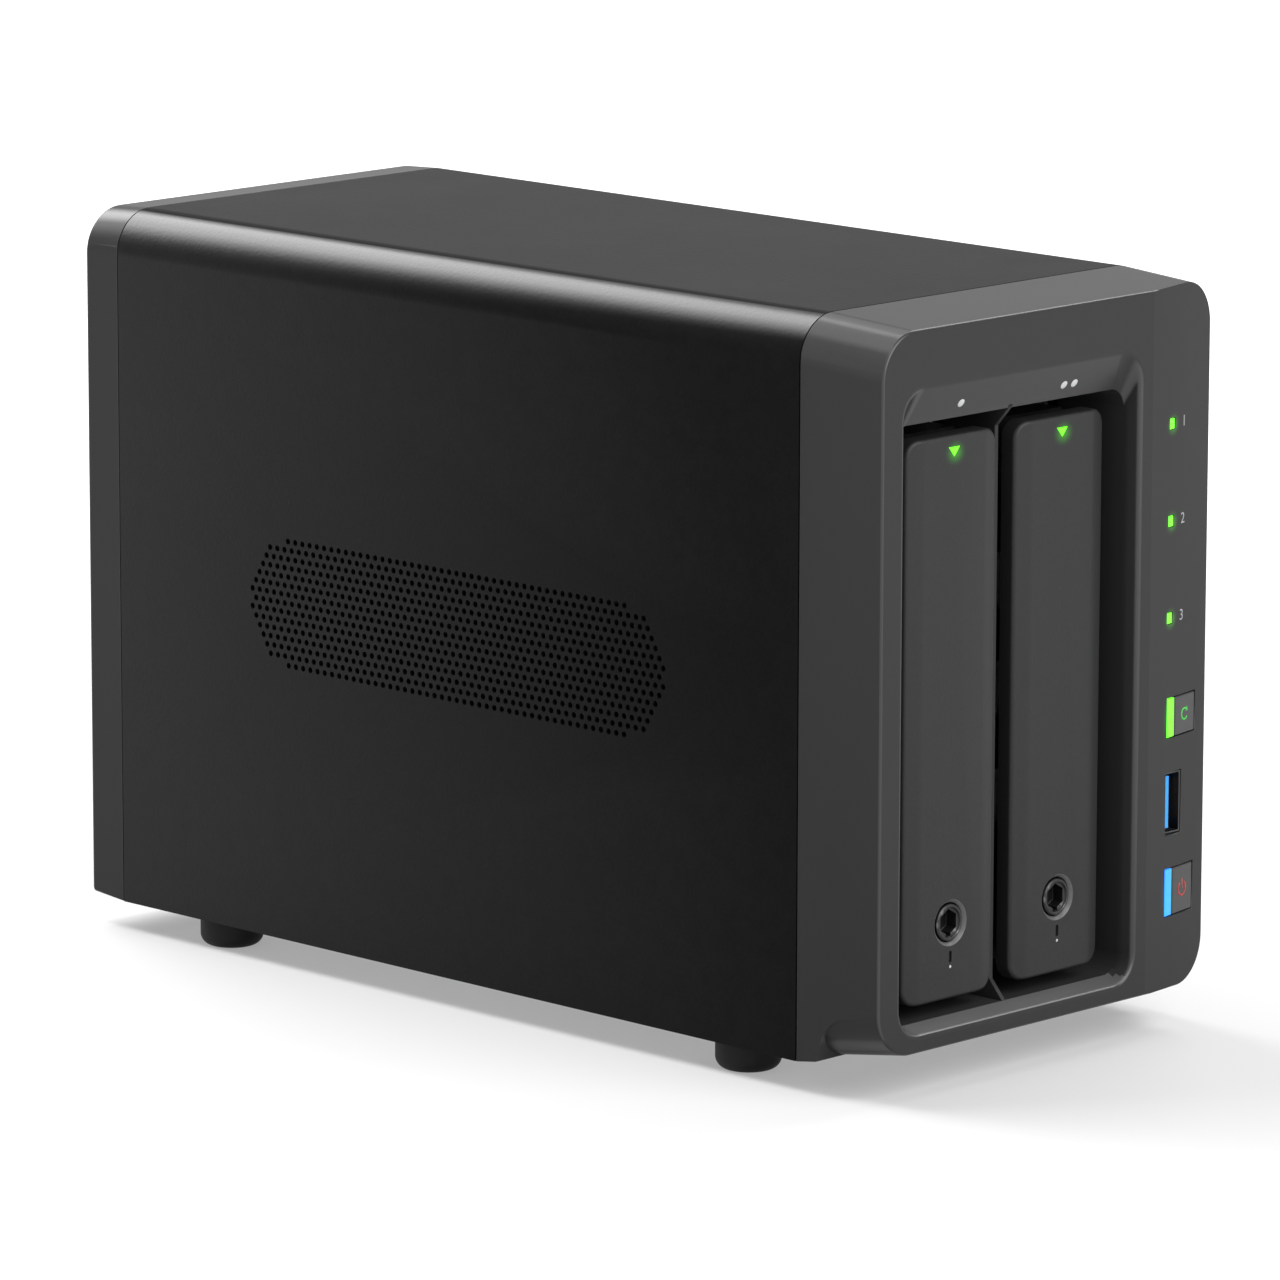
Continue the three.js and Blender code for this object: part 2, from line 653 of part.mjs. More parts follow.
// Sockets on the rear board, seen through the rear panel.
const portBase = rearBoardTop + GAP;
const ports = {
  usbA: { x: side - 14.5, z: portBase, width: 13.1, height: 5.8, depth: 17 },
  usbB: { x: side - 14.5, z: portBase + 7.6, width: 13.1, height: 5.8, depth: 17 },
  lanA: { x: side - 33.5, z: portBase, width: 16, height: 13.4, depth: 21 },
  lanB: { x: side - 51, z: portBase, width: 16, height: 13.4, depth: 21 },
  expansion: { x: side - 67.2, z: portBase, width: 12.4, height: 5.6, depth: 16 },
  power: { x: -side + 15.5, z: portBase, width: 9.4, height: 11, depth: 14 },
};
const resetPlace = { x: -side + 26.5, z: portBase + 4.5, radius: 1.1 };

const portRect = ({ x, z, width, height }) => ({
  x0: x - width / 2,
  x1: x + width / 2,
  z0: z,
  z1: z + height,
});

function ringSector(inner, outer, from, to) {
  const points = [];
  const arc = (radius, start, end) => {
    const steps = Math.ceil(radius / 9) + 1;
    for (let step = 0; step <= steps; step++) {
      const turn = start + ((end - start) * step) / steps;
      points.push(new THREE.Vector2(radius * Math.cos(turn), fanMiddle + radius * Math.sin(turn)));
    }
  };
  arc(outer, from, to);
  arc(inner, to, from);
  return new THREE.Path(points);
}

function makeRearPanel() {
  const plate = roundedRect(panelRect, 3, 6);
  const ringWidth = 6;
  const ringPitch = 7.5;
  const spokes = 4;
  for (let inner = 14; inner + ringWidth < fanBore; inner += ringPitch) {
    const outer = inner + ringWidth;
    for (let sector = 0; sector < spokes; sector++) {
      const half = 1.4 / inner;
      const from = Math.PI / 4 + (sector * 2 * Math.PI) / spokes + half;
      const to = Math.PI / 4 + ((sector + 1) * 2 * Math.PI) / spokes - half;
      plate.holes.push(ringSector(inner, outer, from, to));
    }
  }
  for (const { x, z } of [...fanScrews, ...coverScrews]) {
    plate.holes.push(circle(x, z, screwHole, THREE.Path));
  }
  plate.holes.push(circle(resetPlace.x, resetPlace.z, resetPlace.radius + GAP, THREE.Path));
  const made = solid(alongY(plate, panelOuter, panelInner));
  const cuts = Object.values(ports).map((port) =>
    prism(grown(portRect(port), GAP), panelOuter + 1, panelInner - 1, 0),
  );
  const securitySlot = prism(
    { x0: -side + 11, x1: -side + 18, z0: bottom + 28, z1: bottom + 31 },
    panelOuter + 1,
    panelInner - 1,
    0.8,
  );
  return piece("rear_panel", without(made, ...cuts, securitySlot), blackSteel);
}

const portMouth = panelOuter + 0.6;

function makeUsbPort(name, port) {
  const rect = portRect(port);
  const y0 = portMouth - port.depth;
  const shell = prism(rect, portMouth, y0, 0);
  const hollow = prism(grown(rect, -USB_WALL), portMouth + 1, y0 + 1.5, 0);
  const tongue = block(
    rect.x0 + 1.2,
    rect.x1 - 1.2,
    y0 + 1,
    portMouth - 1,
    rect.z1 - USB_WALL - 2.5,
    rect.z1 - USB_WALL - 0.7,
  );
  return piece(name, joined(without(shell, hollow), tongue), steel);
}

const LAN_OPENING = { width: 11.8, low: 2.6, high: 9.8, depth: 14 };

function makeLanPort(name, port) {
  const rect = portRect(port);
  const y0 = portMouth - port.depth;
  const { width, low, high, depth } = LAN_OPENING;
  const cavity = block(
    port.x - width / 2,
    port.x + width / 2,
    portMouth - depth,
    portMouth + 1,
    port.z + low,
    port.z + high,
  );
  const { x, z } = port;
  const latchNotch = block(x - 3, x + 3, portMouth - 9, portMouth + 1, z + 1, z + 5);
  return piece(name, without(prism(rect, portMouth, y0, 0), cavity, latchNotch), steel);
}

function makePowerJack() {
  const { x, z, height, depth } = ports.power;
  const middle = z + height / 2 + 0.4;
  const body = prism(portRect(ports.power), portMouth, portMouth - depth, 0);
  const barrel = rodY(x, middle, 3.2, portMouth + 1, portMouth - 10);
  const pin = rodY(x, middle, 1.05, portMouth - 1, portMouth - 11);
  return piece("power_jack", joined(without(body, barrel), pin), blackPlastic);
}

function makeResetButton() {
  const { x, z, radius } = resetPlace;
  const tip = panelOuter - 0.4;
  const stem = rodY(x, z, radius, tip, tip - 4.5);
  const collar = rodY(x, z, radius + 1, panelInner - GAP, panelInner - GAP - 1);
  return piece("reset_button", joined(stem, collar), blackPlastic);
}

function makeScrew({ name, x, z }, seat, reach) {
  const sink = block(x - 1.6, x + 1.6, seat + 1, seat + 3, z - 0.35, z + 0.35);
  const sinkAcross = block(x - 0.35, x + 0.35, seat + 1, seat + 3, z - 1.6, z + 1.6);
  const made = turnedY(x, z, [
    [0, seat - reach],
    [SCREW_RADIUS, seat - reach],
    [SCREW_RADIUS, seat],
    [SCREW_HEAD, seat],
    [SCREW_HEAD, seat + SCREW_HEAD_HEIGHT * 0.5],
    [SCREW_HEAD * 0.7, seat + SCREW_HEAD_HEIGHT],
    [0, seat + SCREW_HEAD_HEIGHT],
  ]);
  return piece(name, without(made, sink, sinkAcross), blackSteel);
}

// ---------- fan ----------
function makeFanFrame() {
  const half = FAN_SIZE / 2;
  const square = { x0: -half, x1: half, z0: fanMiddle - half, z1: fanMiddle + half };
  const outline = roundedRect(square, 4);
  outline.holes.push(circle(0, fanMiddle, fanBore, THREE.Path));
  for (const { x, z } of fanScrews) outline.holes.push(circle(x, z, screwHole, THREE.Path));
  const frame = solid(alongY(outline, fanRear, fanFront));
  const hub = rodY(0, fanMiddle, FAN_HUB + 0.5, fanFront + 2, fanFront);
  const arms = [30, 150, 270].map((degrees) => {
    const arm = new THREE.BoxGeometry(fanBore + 0.5, 2, 4).translate((fanBore + 0.5) / 2, 0, 0);
    arm.rotateY(THREE.MathUtils.degToRad(degrees));
    return solid(arm.translate(0, fanFront + 1, fanMiddle));
  });
  return piece("fan_frame", joined(frame, hub, ...arms), blackPlastic);
}

function makeFanRotor() {
  const y0 = fanFront + 2 + 2 * GAP;
  const y1 = fanRear - 2;
  const hub = rodY(0, fanMiddle, FAN_HUB, y1, y0);
  const inner = FAN_HUB - 1.5;
  const reach = fanBore - 1.4;
  const blades = [];
  for (let blade = 0; blade < FAN_BLADES; blade++) {
    const sheet = new THREE.BoxGeometry(reach - inner, y1 - y0 - 3, 1.6, 4, 2, 1);
    sheet.translate((reach + inner) / 2, 0, 0);
    const position = sheet.attributes.position;
    for (let i = 0; i < position.count; i++) {
      const share = (position.getX(i) - inner) / (reach - inner);
      const pitch = THREE.MathUtils.degToRad(52 - 18 * share);
      const sweep = -7 * share * share;
      const y = position.getY(i);
      const z = position.getZ(i);
      position.setY(i, y * Math.cos(pitch) - z * Math.sin(pitch));
      position.setZ(i, y * Math.sin(pitch) + z * Math.cos(pitch) + sweep);
    }
    sheet.rotateY((blade * 2 * Math.PI) / FAN_BLADES);
    blades.push(solid(sheet.translate(0, (y0 + y1) / 2, fanMiddle)));
  }
  const ring = rodY(0, fanMiddle, reach, y1, y0);
  return piece("fan_rotor", joined(hub, ...blades).intersect(ring), blackPlastic);
}

// ---------- drive cage ----------
const LEDGE = 1.4;
const ledgeTop = runnerBottom - GAP;
const capBottom = runnerTop + GAP;
const cageTopBottom = capBottom + LEDGE + 12;
const cageRear = backplaneFront - GAP;

function ledges(x0, x1) {
  return [
    block(x0, x1, cageFront, cageRear, ledgeTop - LEDGE, ledgeTop),
    block(x0, x1, cageFront, cageRear, capBottom, capBottom + LEDGE),
  ];
}

function cageWindows(x0, x1) {
  const count = 3;
  const bar = 10;
  const width = (cageRear - cageFront - bar) / count - bar;
  const cuts = [];
  for (let i = 0; i < count; i++) {
    const y = cageFront + bar + i * (width + bar);
    cuts.push(block(x0, x1, y, y + width, driveBottom + 14, driveBottom + DRIVE_WIDTH - 14));
  }
  return cuts;
}

function makeCageWall(name, x0, x1, ledgeX0, ledgeX1, extras = []) {
  const wall = block(x0, x1, cageFront, cageRear, panTop + GAP, cageTopBottom - GAP);
  const made = without(wall, ...cageWindows(x0 - 1, x1 + 1));
  return piece(name, joined(made, ...ledges(ledgeX0, ledgeX1), ...extras), zinc);
}

const cageLeft = bay.x0 - SHEET;
const cageRight = bay.x1 + SHEET;

function makeCage() {
  const reach = bay.x0 + BAY_SIDE_GAP - (trayHalf - faceWidth / 2) + 2;
  const reachRight = 2 * bayMiddle - reach;
  const standOffs = [boardFront + 14, boardRear - 20].flatMap((y) =>
    [panTop + 12, cageTopBottom - 8].map((z) => rodX(y, z, 3, cageRight - 0.5, boardX - GAP)),
  );
  const half = FIN_WIDTH / 2;
  const fromMiddle = trayPitch / 2 - trayHalf + 2;
  return [
    makeCageWall("cage_left", cageLeft, bay.x0, bay.x0 - 0.5, reach),
    makeCageWall("cage_right", bay.x1, cageRight, reachRight, bay.x1 + 0.5, standOffs),
    makeCageWall(
      "cage_divider",
      bayMiddle - half,
      bayMiddle + half,
      bayMiddle - fromMiddle,
      bayMiddle + fromMiddle,
    ),
    piece(
      "cage_top",
      block(cageLeft, cageRight, cageFront, cageRear, cageTopBottom, cageTopBottom + SHEET),
      zinc,
    ),
  ];
}

// ---------- trays ----------
const EAR_WIDTH = 2.4;
const EAR_RADIUS = 3.1;
const LUG_RADIUS = 2.4;
const earOuter = faceWidth / 2 - 1.55;
const earInner = earOuter - EAR_WIDTH;
const lugInner = earInner - 3.2;
const pinHole = HINGE_PIN_RADIUS + GAP;

function makeTrayHandle(number, x) {
  const half = faceWidth / 2;
  const flat = half - FACET_WIDTH;
  const back = facePlane + FACE_THICKNESS;
  const section = polygon([
    [x - half, back],
    [x - half, facePlane + FACET_SETBACK],
    [x - flat, facePlane],
    [x + flat, facePlane],
    [x + half, facePlane + FACET_SETBACK],
    [x + half, back],
  ].reverse());
  const face = { x0: x - half, x1: x + half, z0: faceBottom, z1: faceTop };
  const slab = solid(alongZ(section, faceBottom, faceTop));
  const plate = slab.intersect(prism(face, back + 1, facePlane - 1, FACE_CORNER));
  const pocketEdge = 2.4;
  const pocketRect = {
    x0: x - half + pocketEdge,
    x1: x + half - pocketEdge,
    z0: lockHeight + 9,
    z1: hinge.z - 6,
  };
  const pocket = prism(pocketRect, back + 1, facePlane + 2.4, 2);
  const ears = [-1, 1].map((hand) => {
    const [x0, x1] = [x + hand * earInner, x + hand * earOuter].sort((a, b) => a - b);
    const web = block(x0, x1, back - 1, hinge.y, hinge.z - EAR_RADIUS, hinge.z + EAR_RADIUS);
    return joined(rodX(hinge.y, hinge.z, EAR_RADIUS, x0, x1), web);
  });
  const bore = rodX(hinge.y, hinge.z, pinHole, x - half, x + half);
  const lockBore = rodY(x, lockHeight, LOCK_RADIUS + GAP, back + 1, facePlane - 1);
  const rim = LOCK_RADIUS + GAP;
  const chamfer = turnedY(x, lockHeight, [
    [0, facePlane - 1],
    [rim + LOCK_CHAMFER + 1, facePlane - 1],
    [rim, facePlane + LOCK_CHAMFER],
    [0, facePlane + LOCK_CHAMFER],
  ]);
  const lightHole = lightPrism(x, GAP, back + 1, facePlane - 1);
  const markTop = lockHeight - 5.8;
  const mark = block(x - 0.4, x + 0.4, facePlane - 1, facePlane + 0.5, markTop - 2.4, markTop);
  const bare = joined(without(plate, pocket), ...ears);
  const made = without(bare, bore, lockBore, chamfer, lightHole, mark);
  return piece(`tray_${number}_handle`, made, trayPlastic);
}

const LIGHT_WIDTH = 3.9;
const LIGHT_HEIGHT = 2.4;
const lightTop = 2.3; // below the top of the face

function lightPrism(x, grow, yBack, yFront) {
  const z1 = faceTop - lightTop;
  const z0 = z1 - LIGHT_HEIGHT;
  const outline = polygon([
    [x - LIGHT_WIDTH / 2 - 1.7 * grow, z1 + grow],
    [x, z0 - 1.7 * grow],
    [x + LIGHT_WIDTH / 2 + 1.7 * grow, z1 + grow],
  ]);
  return solid(alongY(outline, yBack, yFront));
}

function makeTrayLight(number, x) {
  const made = lightPrism(x, 0, facePlane + FACE_THICKNESS, facePlane + 0.1);
  return piece(`tray_${number}_light`, made, greenLight);
}

function makeTrayLock(number, x) {
  const faceY = facePlane + 0.15;
  const shaftEnd = trayFront - 2.4;
  const barrel = rodY(x, lockHeight, LOCK_RADIUS, shaftEnd, faceY);
  const cam = block(x - 2, x + 2, shaftEnd - 1.6, shaftEnd, lockHeight - 2, lockHeight + 7);
  const hexagon = [];
  for (let corner = 0; corner < 6; corner++) {
    const turn = (corner * Math.PI) / 3 + Math.PI / 6;
    const reach = LOCK_SOCKET / 2 / Math.cos(Math.PI / 6);
    hexagon.push([x + reach * Math.cos(turn), lockHeight + reach * Math.sin(turn)]);
  }
  const socket = solid(alongY(polygon(hexagon), faceY + 3, faceY - 1));
  const notch = block(x - 0.7, x + 0.7, faceY - 1, faceY + 3, lockHeight - 2.9, lockHeight);
  return piece(`tray_${number}_lock`, without(joined(barrel, cam), socket, notch), blackSteel);
}

function makeTrayPin(number, x) {
  const made = rodX(hinge.y, hinge.z, HINGE_PIN_RADIUS, x - earOuter, x + earOuter);
  return piece(`tray_${number}_hinge_pin`, made, steel);
}

function makeTrayBody(number, x) {
  const half = trayHalf - 0.3;
  const plateRear = trayFront + 1.5;
  const frontPlate = block(x - half, x + half, trayFront, plateRear, runnerBottom, runnerTop);
  const [lowRunner, highRunner] = [runnerBottom, runnerTop - RUNNER_HEIGHT].map((z) =>
    block(x - half, x + half, trayFront, trayRear, z, z + RUNNER_HEIGHT),
  );
  const sheet = block(x - half, x - half + TRAY_WALL, trayFront, trayRear, runnerBottom, runnerTop);
  const windows = [];
  const count = 4;
  const width = (trayRear - plateRear) / count - 9;
  for (let i = 0; i < count; i++) {
    const y = plateRear + 7 + i * (width + 9);
    windows.push(block(x - half - 1, x - half + 2, y, y + width, driveBottom + 12, runnerTop - 18));
  }
  const lugs = [-1, 1].map((hand) => {
    const [x0, x1] = [x + hand * lugInner, x + hand * (earInner - GAP)].sort((a, b) => a - b);
    const [z0, z1] = [hinge.z - LUG_RADIUS, hinge.z + LUG_RADIUS];
    const web = block(x0, x1, hinge.y, trayFront + 1, z0, z1);
    return joined(rodX(hinge.y, hinge.z, LUG_RADIUS, x0, x1), web);
  });
  const bore = rodX(hinge.y, hinge.z, pinHole, x - half, x + half);
  const vents = [0.3, 0.5, 0.7].map((share) => {
    const z = runnerBottom + share * (runnerTop - runnerBottom);
    return block(x - 9, x + 9, trayFront - 1, plateRear + 1, z - 6, z + 6);
  });
  const bars = without(joined(frontPlate, lowRunner, highRunner, sheet), ...windows, ...vents);
  return piece(`tray_${number}_body`, without(joined(bars, ...lugs), bore), blackPlastic);
}

function makeDrive(number, x) {
  const x0 = x - DRIVE_THICKNESS / 2 + 0.3;
  const castEnd = x0 + DRIVE_THICKNESS - 1.6;
  const z0 = driveBottom;
  const z1 = driveBottom + DRIVE_WIDTH;
  const pocket = block(castEnd - 7, castEnd + 1, driveRear - 92, driveRear - 6, z0 + 6, z1 - 26);
  const outline = { x0: driveFront, x1: driveRear, z0, z1 };
  const casting = solid(alongX(roundedRect(outline, 2), x0 + 1.5, castEnd));
  const lid = grown(outline, -2.5);
  const cover = solid(alongX(roundedRect(lid, 4), x0, x0 + 2));
  const plug = block(castEnd - 5, castEnd + 1, driveRear - 7, driveRear + 1, z0 + 10, z0 + 54);
  const board = block(castEnd - 0.5, castEnd + 1.3, driveRear - 90, driveRear - 8, z0 + 4, z1 - 24);
  const made = without(joined(without(joined(casting, cover), pocket), board), plug);
  return piece(`tray_${number}_drive`, made, castAluminium);
}

function makeDriveSocket(number, x) {
  const castEnd = x + DRIVE_THICKNESS / 2 - 1.3;
  const z0 = driveBottom + 12;
  const y1 = backplaneFront - GAP;
  const y0 = driveRear - 4;
  const body = block(castEnd - 4.6, castEnd - 0.2, y0, y1, z0, z0 + 40);
  const slot = block(castEnd - 3.2, castEnd - 1.6, y0 - 1, y0 + 5, z0 + 1.5, z0 + 38.5);
  return piece(`drive_socket_${number}`, without(body, slot), blackPlastic);
}

// ---------- boards ----------
function makeBackplane() {
  const y1 = backplaneFront + BOARD;
  const plate = block(cageLeft, cageRight, backplaneFront, y1, faceBottom + 2, cageTopBottom - 1);
  const vents = trayCentres.flatMap((x) =>
    [0, 1, 2].map((row) => {
      const z = driveBottom + 62 + row * 13;
      return block(x - 9, x + 5, backplaneFront - 1, y1 + 1, z, z + 8);
    }),
  );
  return piece("backplane", without(plate, ...vents), boardGreen);
}

const boardTop = cageTopBottom;
const tailTop = rearBoardTop + 22;
const tailReach = boardRear + 20;

function makeMainboard() {
  const z0 = panTop + 4;
  const tab = { from: usbMouth + USB_LENGTH - 3, z0: usbZ - 10, z1: usbZ + 10 };
  const outline = polygon([
    [boardFront, z0],
    [boardRear, z0],
    [boardRear, rearBoardTop + 2],
    [tailReach, rearBoardTop + 2],
    [tailReach, tailTop],
    [boardRear, tailTop],
    [boardRear, boardTop],
    [boardFront, boardTop],
    [boardFront, tab.z1],
    [tab.from, tab.z1],
    [tab.from, tab.z0],
    [boardFront, tab.z0],
  ]);
  return piece("mainboard", solid(alongX(outline, boardX, boardSide)), boardGreen);
}

function makeHeatsink() {
  const x0 = boardSide + GAP;
  const x1 = coverInside - 3;
  const y0 = boardFront + 62;
  const z0 = boardTop - 50;
  const z1 = boardTop - 14;
  const fins = 8;
  const pitch = 4.6;
  const base = block(x0, x0 + 2.5, y0, y0 + (fins - 1) * pitch + 1.4, z0, z1);
  const blades = [];
  for (let fin = 0; fin < fins; fin++) {
    const y = y0 + fin * pitch;
    blades.push(block(x0, x1, y, y + 1.4, z0, z1));
  }
  return piece("heatsink", joined(base, ...blades), castAluminium);
}

const memory = {
  x: boardSide + 4.2,
  y: boardFront + 68.6,
  z: panTop + 33.6,
  length: 67.6,
  tall: 30,
};

function makeMemory() {
  const { y, z, length, tall, x } = memory;
  const module = block(x, x + 1.2, y, y + length, z, z + tall);
  const body = block(boardSide + GAP, x + 3.4, y - 2, y + length + 2, z - 3.5, z + 3.5);
  const slot = block(x - GAP, x + 1.2 + GAP, y - GAP, y + length + GAP, z - GAP, z + 4);
  return [
    piece("memory_module", module, boardGreen),
    piece("memory_socket", without(body, slot), blackPlastic),
  ];
}

function makeBattery() {
  const x0 = boardSide + GAP;
  const cell = rodX(boardRear - 22, boardTop - 24, 10, x0, x0 + 3.2);
  return piece("clock_battery", cell, batterySteel);
}

function makeRearBoard() {
  const half = side - 7.5;
  const y1 = panelInner - 1.4;
  const plate = block(-half, half, rearBoardFront, y1, rearBoardBottom, rearBoardTop);
  return piece("rear_board", plate, boardGreen);
}

function makeBoardConnector() {
  const x = (boardX + boardSide) / 2;
  const z0 = rearBoardTop + GAP;
  const body = block(x - 3.6, x + 3.6, rearBoardFront + 1, tailReach + 1.5, z0, z0 + 8);
  const slot = block(
    boardX - GAP,
    boardSide + GAP,
    rearBoardFront,
    tailReach + GAP,
    z0 + 1.4,
    z0 + 9,
  );
  return piece("board_connector", without(body, slot), blackPlastic);
}

// ---------- assembly ----------
const nas = new THREE.Group();
nas.name = "network_attached_storage";

const housing = new THREE.Group();
housing.add(makeOuterCover(), makeBasePan(), makeFrontBezel(), makeRearBezel(), makeRearPanel());
housing.add(...feet.map(makeFoot));
housing.add(...coverScrews.map((screw) => makeScrew(screw, panelOuter + 2.2 + GAP, 8)));
housing.add(...fanScrews.map((screw) => makeScrew(screw, panelOuter + GAP, 12)));

strip.add(...indicators.map(makeIndicator));
strip.add(...buttons.flatMap(makeButton));

const electronics = new THREE.Group();
electronics.add(makeFrontBoard(), ...makeFrontUsb());
electronics.add(makeMainboard(), makeHeatsink(), ...makeMemory());
electronics.add(makeBattery(), makeRearBoard(), makeBoardConnector(), makeBackplane());
electronics.add(makeUsbPort("rear_usb_port_lower", ports.usbA));
electronics.add(makeUsbPort("rear_usb_port_upper", ports.usbB));
electronics.add(makeLanPort("lan_port_1", ports.lanA), makeLanPort("lan_port_2", ports.lanB));
electronics.add(makeUsbPort("expansion_port", ports.expansion), makePowerJack());
electronics.add(makeResetButton());

const cooling = new THREE.Group();
cooling.add(makeFanFrame(), makeFanRotor());

const cage = new THREE.Group();
cage.add(...makeCage());

nas.add(housing, strip, electronics, cooling, cage);
trayCentres.forEach((x, index) => {
  const number = index + 1;
  const tray = new THREE.Group();
  tray.add(makeTrayBody(number, x), makeTrayHandle(number, x), makeTrayPin(number, x));
  tray.add(makeTrayLock(number, x), makeTrayLight(number, x), makeDrive(number, x));
  nas.add(tray, makeDriveSocket(number, x));
});

export default nas;
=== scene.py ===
import math

import bmesh
import bpy
from bpy.props import FloatProperty, FloatVectorProperty, PointerProperty
from mathutils import Matrix, Vector


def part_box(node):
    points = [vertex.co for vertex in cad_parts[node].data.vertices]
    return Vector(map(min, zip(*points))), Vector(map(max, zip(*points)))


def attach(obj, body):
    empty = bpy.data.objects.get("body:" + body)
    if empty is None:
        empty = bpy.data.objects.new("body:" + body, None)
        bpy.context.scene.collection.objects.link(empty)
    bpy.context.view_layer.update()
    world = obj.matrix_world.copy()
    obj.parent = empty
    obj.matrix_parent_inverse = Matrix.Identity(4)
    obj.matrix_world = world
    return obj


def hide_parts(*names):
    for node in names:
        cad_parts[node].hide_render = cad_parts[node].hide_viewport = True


bl_info = {
    "name": "Two-bay storage box",
    "version": (1, 0, 0),
    "blender": (4, 5, 0),
    "location": "3D View > Sidebar > Storage box",
    "description": "Detailed pieces and finishes of an upright two-bay network storage box",
    "category": "Object",
}

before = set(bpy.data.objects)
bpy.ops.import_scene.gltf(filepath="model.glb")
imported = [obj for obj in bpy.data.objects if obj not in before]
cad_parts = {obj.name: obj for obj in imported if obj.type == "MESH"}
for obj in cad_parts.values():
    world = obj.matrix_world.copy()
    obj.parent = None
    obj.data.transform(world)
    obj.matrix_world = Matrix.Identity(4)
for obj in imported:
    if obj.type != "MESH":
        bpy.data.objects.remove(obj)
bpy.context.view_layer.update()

MM = 0.001  # mesh code works in millimetres, and objects are made in metres


# ---------- places taken from the frame, in millimetres ----------
def limits(node):
    """Lowest and highest corner of a CAD node, in millimetres."""
    low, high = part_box(node)
    return Vector(low) / MM, Vector(high) / MM


cover_low, cover_high = limits("outer_cover")
bezel_low, bezel_high = limits("front_bezel")
rear_low, rear_high = limits("rear_bezel")
panel_low, panel_high = limits("rear_panel")

SIDE = cover_high.x
TOP = cover_high.z
BOTTOM = cover_low.z
FRONT = bezel_low.y
REAR = rear_high.y
COVER_FRONT = cover_low.y
COVER_REAR = cover_high.y
GAP = 0.3
BEZEL_BACK = COVER_FRONT - GAP
REAR_JOIN = COVER_REAR + GAP

CORNER = 9.56
COVER_WALL = 1.2
FRONT_RECT = (-SIDE + 0.6, SIDE - 0.6, BOTTOM + 3.35, TOP - 1.41)
CASE_RECT = (-SIDE, SIDE, BOTTOM, TOP)
REAR_RECT = (-SIDE, SIDE, BOTTOM + 0.7, TOP - 0.5)

TRAYS = (1, 2)
handle_boxes = {n: limits(f"tray_{n}_handle") for n in TRAYS}
tray_x = {n: (low.x + high.x) / 2 for n, (low, high) in handle_boxes.items()}
FACE_Y = handle_boxes[1][0].y
FACE_BOTTOM = handle_boxes[1][0].z
FACE_TOP = handle_boxes[1][1].z
FACE_HALF = (handle_boxes[1][1].x - handle_boxes[1][0].x) / 2
BAY = (
    handle_boxes[1][0].x - 5.0,
    handle_boxes[2][1].x + 5.0,
    FACE_BOTTOM - 3.1,
    FACE_TOP + 3.5,
)
BAY_MIDDLE = (BAY[0] + BAY[1]) / 2
RECESS_FRONT = (BAY[0] - 0.58, BAY[1] + 0.58, BAY[2] - 1.65, BAY[3] + 8.2)
RECESS_DEPTH = FACE_Y - FRONT
CREASE = RECESS_FRONT[1] + 3.8
DOT_PROFILE = ((0, 0), (0.88, 0), (0.9, 0.06), (0.82, 0.1), (0, 0.1))
STRIP_ANGLE = math.radians(10.48)
STRIP = Matrix.Translation((CREASE, FRONT, 0)) @ Matrix.Rotation(STRIP_ANGLE, 4, "Z")
STRIP_LENGTH = (SIDE - 0.6 - CREASE) / math.cos(STRIP_ANGLE)
LOCK_Z = FACE_BOTTOM + 15.65
FAN_Z = (limits("fan_frame")[0].z + limits("fan_frame")[1].z) / 2

ARC = 20  # straight steps in a large corner's quarter turn
LINE_ANGLE = 9.5  # faces that meet at more than this, in degrees, meet in a crisp line


# ---------- settings that a user would change ----------
class StorageBoxSizes(bpy.types.PropertyGroup):
    """Edge softness and vent sizes."""

    front_edge: FloatProperty(
        name="Front edge",
        description="Rounding of the front bezel's outer edge",
        default=0.5 * MM,
        unit="LENGTH",
    )
    recess_edge: FloatProperty(
        name="Recess edge",
        description="Rounding where the face turns into the tray recess",
        default=1.2 * MM,
        unit="LENGTH",
    )
    tray_edge: FloatProperty(
        name="Tray edge",
        description="Rounding round each tray front",
        default=0.8 * MM,
        unit="LENGTH",
    )
    vent_hole: FloatProperty(
        name="Vent hole",
        description="Radius of one hole in the side vents",
        default=0.68 * MM,
        unit="LENGTH",
    )
    vent_pitch: FloatProperty(
        name="Vent pitch",
        description="Distance between holes along a row of the side vents",
        default=2.2 * MM,
        unit="LENGTH",
    )


class StorageBoxColours(bpy.types.PropertyGroup):
    """Colours of the main finishes."""

    cover: FloatVectorProperty(
        name="Cover",
        description="Paint on the outer cover",
        default=(0.008, 0.008, 0.0079),
        size=3,
        subtype="COLOR",
    )
    bezel: FloatVectorProperty(
        name="Bezels",
        description="Finish of the front and rear bezels and the buttons",
        default=(0.038, 0.038, 0.0382),
        size=3,
        subtype="COLOR",
    )
    tray: FloatVectorProperty(
        name="Tray fronts",
        description="Plastic of the tray fronts",
        default=(0.017, 0.0175, 0.0175),
        size=3,
        subtype="COLOR",
    )
    green: FloatVectorProperty(
        name="Green lights",
        description="Lit light pipes",
        default=(0.12, 1.0, 0.01),
        size=3,
        subtype="COLOR",
    )
    blue: FloatVectorProperty(
        name="Blue light",
        description="Lit bar beside the power button",
        default=(0.01, 0.25, 1.0),
        size=3,
        subtype="COLOR",
    )


# ---------- shader node groups ----------
def new_group(name, inputs, outputs):
    group = bpy.data.node_groups.new(name, "ShaderNodeTree")
    for label, kind, value in inputs:
        socket = group.interface.new_socket(label, in_out="INPUT", socket_type=kind)
        socket.default_value = value
    for label, kind in outputs:
        group.interface.new_socket(label, in_out="OUTPUT", socket_type=kind)
    start = group.nodes.new("NodeGroupInput")
    end = group.nodes.new("NodeGroupOutput")
    return group, start, end


